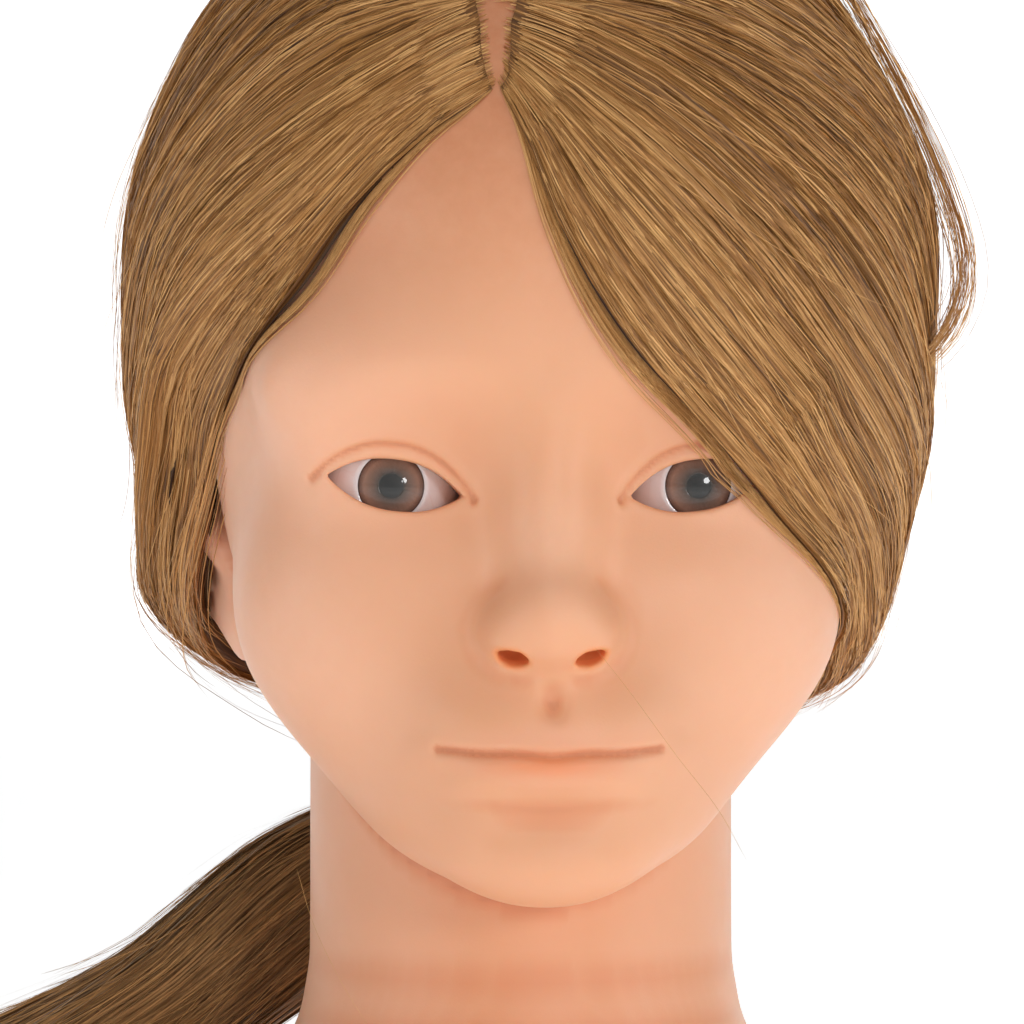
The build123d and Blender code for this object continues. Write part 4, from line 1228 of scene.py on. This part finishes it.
def build_tail_strands(rng, count=5200, stations=24):
    """Strands of different lengths round the bundle, drawn together in locks."""
    a = rng.uniform(0, 2 * math.pi, count)
    radius = np.sqrt(rng.uniform(0.62, 1.0, count))
    end = np.clip(rng.normal(0.94, 0.06, count), 0.6, 1.0)
    s = end[:, None] * np.linspace(0, 1, stations)[None, :]
    number = np.arange(count)[:, None]
    spin = 0.25 * value_noise(number * 1.7, s * 2.5, 31) * step(0.1, 0.5, s)
    lock = np.round(a / (2 * math.pi) * 70) * (2 * math.pi) / 70
    turn = a[:, None] + (lock - a)[:, None] * 0.5 * step(0.15, 0.7, s) + spin
    size = radius[:, None] * (0.97 + 0.05 * value_noise(number * 2.3, s * 4.0, 32))
    path, out = tail_point(turn, s, size + 0.045 * tail_grooves(turn, s))
    widths = rng.uniform(0.28, 0.5, count)
    item = mesh_object("ponytail_strands", *ribbons(path, unit(out), widths, rng.normal(0, 0.5, count)))
    write_flow(item, turn * GIRTH, s * TAIL_LENGTH, rng.beta(2.2, 2.2, count)[:, None], 0.5, 2)
    return item


def build_tail_flyaways(rng, count=420, stations=18):
    """Single hairs that stand off the tail's upper side."""
    a = rng.uniform(-0.4, math.pi + 0.4, count)
    begin, size = rng.uniform(0.05, 0.7, count), rng.uniform(0.1, 0.3, count)
    x = np.linspace(0, 1, stations)[None, :]
    s = np.clip(begin[:, None] + size[:, None] * x, 0, 0.99)
    off = 1.0 + rng.gamma(1.5, 0.07, count)[:, None] * x ** 1.3
    path = tail_point(a[:, None] + rng.normal(0, 0.25, count)[:, None] * x, s, off)[0]
    thin_hairs("ponytail_flyaways", path, rng.uniform(0.10, 0.18, count), 81, "tail")


tail_core = build_tail_core()
rng = np.random.default_rng(303)
tail_strands = build_tail_strands(rng)
build_tail_flyaways(rng)
for item in (tail_core, tail_strands):
    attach(item, "tail")
    hair_pieces.append(item)
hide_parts("ponytail")


# ---- eyes ---------------------------------------------------------------------------
IRIS_R, PUPIL_R, IRIS_SEAT = 7.0, 2.6, 14.15
PRINT_R = 18.0  # the prints lie on a shallow dome of this radius
DOME_RISE = 2.2


def turned(name, profile, centre, count=72):
    """A round piece about the gaze line (towards -Y) from (radius, distance ahead) pairs."""
    profile = np.asarray(profile, float)
    a = np.linspace(0, 2 * math.pi, count, endpoint=False)[:, None]
    r, ahead = profile[None, :, 0], profile[None, :, 1]
    ahead = ahead + 0 * a
    points = np.stack([centre[0] + r * np.cos(a), centre[1] - ahead, centre[2] + r * np.sin(a)], axis=-1)
    return mesh_object(name, points.reshape(-1, 3), grid_faces(count, len(profile), wrap=True))


def write_polar(item, centre, rim):
    """Keeps each point's share of the rim's radius and its angle."""
    place = read_points(item, "co") / MM - np.asarray(centre)
    x, z = place[:, 0], place[:, 2]
    write_marks(item, radius=np.hypot(x, z) / rim, angle=np.arctan2(z, x))


def arc(radius, start, end, count):
    """(radius, distance ahead) pairs on a ball, from one angle off the gaze line to another."""
    return [(radius * math.sin(t), radius * math.cos(t)) for t in np.linspace(start, end, count)]


def cap(curve, top, start, end, count):
    """(radius, distance ahead) pairs of a shallow dome, from its rim in to its middle."""
    return [(r, top + math.sqrt(curve ** 2 - r ** 2)) for r in np.linspace(start, end, count)]


def build_eye(side, word, finishes):
    """Cup, ball with a seat for the iris, domed iris and pupil prints, and the clear dome."""
    centre = (side * EYE_X, EYE_Y, EYE_Z)
    outer, inner = EYE_R + 1.5, EYE_R + 0.15
    rim, pole = math.radians(80), math.radians(179.4)
    back, front = arc(outer, rim, pole, 24), arc(inner, pole, rim, 24)
    lip = [(inner + 0.3, inner * 0.174 + 0.35), (outer - 0.3, outer * 0.174 + 0.2)]
    cup = turned("eye_cup_shell_" + word, back + front + lip + back[:1], centre)
    start = math.asin((IRIS_R + 0.15) / EYE_R)
    seat = [(IRIS_R + 0.02, EYE_R * math.cos(start) - 0.15), (IRIS_R + 0.02, IRIS_SEAT - 0.5)]
    ball = arc(EYE_R, math.radians(179.5), start, 40) + seat
    white = turned("eyeball_" + word, ball, centre)
    write_polar(white, centre, EYE_R)
    top = IRIS_SEAT - math.sqrt(PRINT_R ** 2 - IRIS_R ** 2)
    disc = cap(PRINT_R, top, IRIS_R, PUPIL_R, 18) + [(PUPIL_R, IRIS_SEAT + 0.5)]
    iris = turned("iris_disc_" + word, disc, centre, 96)
    write_polar(iris, centre, IRIS_R)
    pupil = turned("pupil_disc_" + word, cap(PRINT_R, top - 0.01, PUPIL_R + 0.05, 0.02, 8), centre, 48)
    write_polar(pupil, centre, PUPIL_R)
    curve = (IRIS_R ** 2 + DOME_RISE ** 2) / (2 * DOME_RISE)
    dome = cap(curve, IRIS_SEAT + 0.18 - curve + DOME_RISE, IRIS_R - 0.05, 0.02, 14)
    cornea = turned("cornea_dome_" + word, dome, centre, 64)
    rows = ((cup, "eye_cup_", "base"), (white, "eye_white_", "eye_white"), (iris, "iris_", "iris"),
            (pupil, "pupil_", "pupil"), (cornea, "cornea_", "clear"))
    for (item, node, slot), finish in zip(rows, finishes):
        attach(item, "head")
        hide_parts(node + word)
        item.data.materials.append(finish)


eye_finishes = (moulded_finish("white_plastic", (0.55, 0.53, 0.48), (0.70, 0.68, 0.63), 0.5),
                eye_white_finish(), iris_finish(), pupil_finish(), cornea_finish())
for side, word in ((-1, "right"), (1, "left")):
    build_eye(side, word, eye_finishes)


# ---- finishes of the CAD nodes that stay ---------------------------------------------
def finish_node(node, material):
    """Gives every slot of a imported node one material."""
    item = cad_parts[node]
    if not item.material_slots:
        item.data.materials.append(material)
    for slot in item.material_slots:
        slot.material = material


black_plastic = moulded_finish("black_plastic", (0.020, 0.020, 0.021), (0.085, 0.085, 0.088))
steel = steel_finish()
for node, material in (("base_plate", black_plastic), ("clamp_socket", black_plastic), ("neck_hoop", steel),
                       ("hoop_screws", steel), ("socket_screws", steel), ("root_layer", latex_finish()),
                       ("hair_band", elastic_finish())):
    finish_node(node, material)
# The ponytail's ash palette is partly its dye and partly painted shade.
golden, ashen_and_shaded = hair_finish("golden_hair", *GOLD, 0.0), hair_finish("ash_and_shade_hair", *ASH_AND_SHADE, 20.0)
for item in hair_pieces:
    item.data.materials.append(ashen_and_shaded if item.name.startswith("ponytail") else golden)


# ---- foam core ----------------------------------------------------------------------
def foam_field(p):
    """The hardened foam that fills the vinyl, with room for the eyes and the clamp socket."""
    f = head_value(p) + 4.6
    for side in (-1, 1):
        ball = eye_distance(p, side)
        window = np.maximum(almond(p, side) - 2.0, p[1] - EYE_Y)
        f = smax(f, -np.minimum(ball - 18.8, window), 2.0)
    r = np.hypot(p[0], p[1])
    f = smin(f, np.maximum(r - 44.5, p[2] - 125), 8.0)
    f = np.maximum(f, 25.0 - p[2])
    return np.maximum(f, -np.maximum(r - 17.4, p[2] - 65.0))


GAP = 3.0  # between grid lines
xs, ys, zs = np.arange(-80, 81, GAP), np.arange(-110, 101, GAP), np.arange(20, 306, GAP)
grid = np.meshgrid(xs, ys, zs, indexing="ij")
points, faces = surface_net(xs, ys, zs, foam_field(tuple(grid)).astype(np.float32))
foam = mesh_object("foam_filling", settle(points, faces, foam_field), faces)
foam.data.materials.append(foam_finish())
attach(foam, "head")
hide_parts("foam_core")


# ---- light and floor ----------------------------------------------------------------
def area_light(name, place, aim, size, power):
    """A round soft light, size metres across, aimed at a point."""
    data = bpy.data.lights.new(name, "AREA")
    data.shape = "DISK"
    data.size = size
    data.energy = power
    light = bpy.data.objects.new(name, data)
    light.location = place
    light.rotation_euler = (Vector(aim) - Vector(place)).to_track_quat("-Z", "Y").to_euler()
    bpy.context.scene.collection.objects.link(light)


area_light("key", (1.50, -0.85, 0.42), (0, -0.02, 0.17), 0.9, 6.0)
area_light("fill", (-1.50, -0.80, 0.42), (0, -0.02, 0.17), 0.9, 4.3)
area_light("front", (0.40, -1.30, 0.33), (0, -0.05, 0.16), 0.17, 2.2)
area_light("bounce", (0.25, -2.30, 0.40), (0, 0, 0.16), 2.6, 7.2)
area_light("high", (0.0, -1.10, 1.25), (0, -0.05, 0.15), 1.5, 4.4)
area_light("top", (0.0, 0.2, 1.7), (0, 0, 0.2), 1.2, 1.2)
world = bpy.data.worlds.new("studio")
world.use_nodes = True
air = world.node_tree.nodes["Background"].inputs
air["Color"].default_value = (0.98, 0.99, 1.0, 1)
air["Strength"].default_value = 0.10
bpy.context.scene.world = world


def paper_finish(name, glow):
    """Pale seamless paper with a faint grain."""
    f = Finish(name)
    f.set(Base_Color=f.mix(f.noise(40, 3, 0.5), (0.88, 0.88, 0.88), (0.93, 0.93, 0.93)), Roughness=0.9,
          Emission_Color=(1, 1, 1, 1), Emission_Strength=glow)
    return f.material


# The backdrop stands far off, so that it never comes between the head and a camera behind it.
HALF_WIDE, NEAR, FAR, BEND, TALL = 7000, -5000, 4000, 1500, 6000
sweep = [(FAR + BEND * math.sin(a), BEND - BEND * math.cos(a)) for a in np.linspace(0, math.pi / 2, 24)]
sweep.append((FAR + BEND, TALL))
wall = mesh_object("backdrop", [(x, y, z) for x in (-HALF_WIDE, HALF_WIDE) for y, z in sweep],
                   grid_faces(2, len(sweep)))
corners = [(-HALF_WIDE, NEAR, 0), (HALF_WIDE, NEAR, 0), (HALF_WIDE, FAR, 0), (-HALF_WIDE, FAR, 0)]
floor = mesh_object("floor", corners, [(0, 1, 2, 3)])
wall.data.materials.append(paper_finish("backdrop", 0.98))
floor.data.materials.append(paper_finish("floor", 0.60))
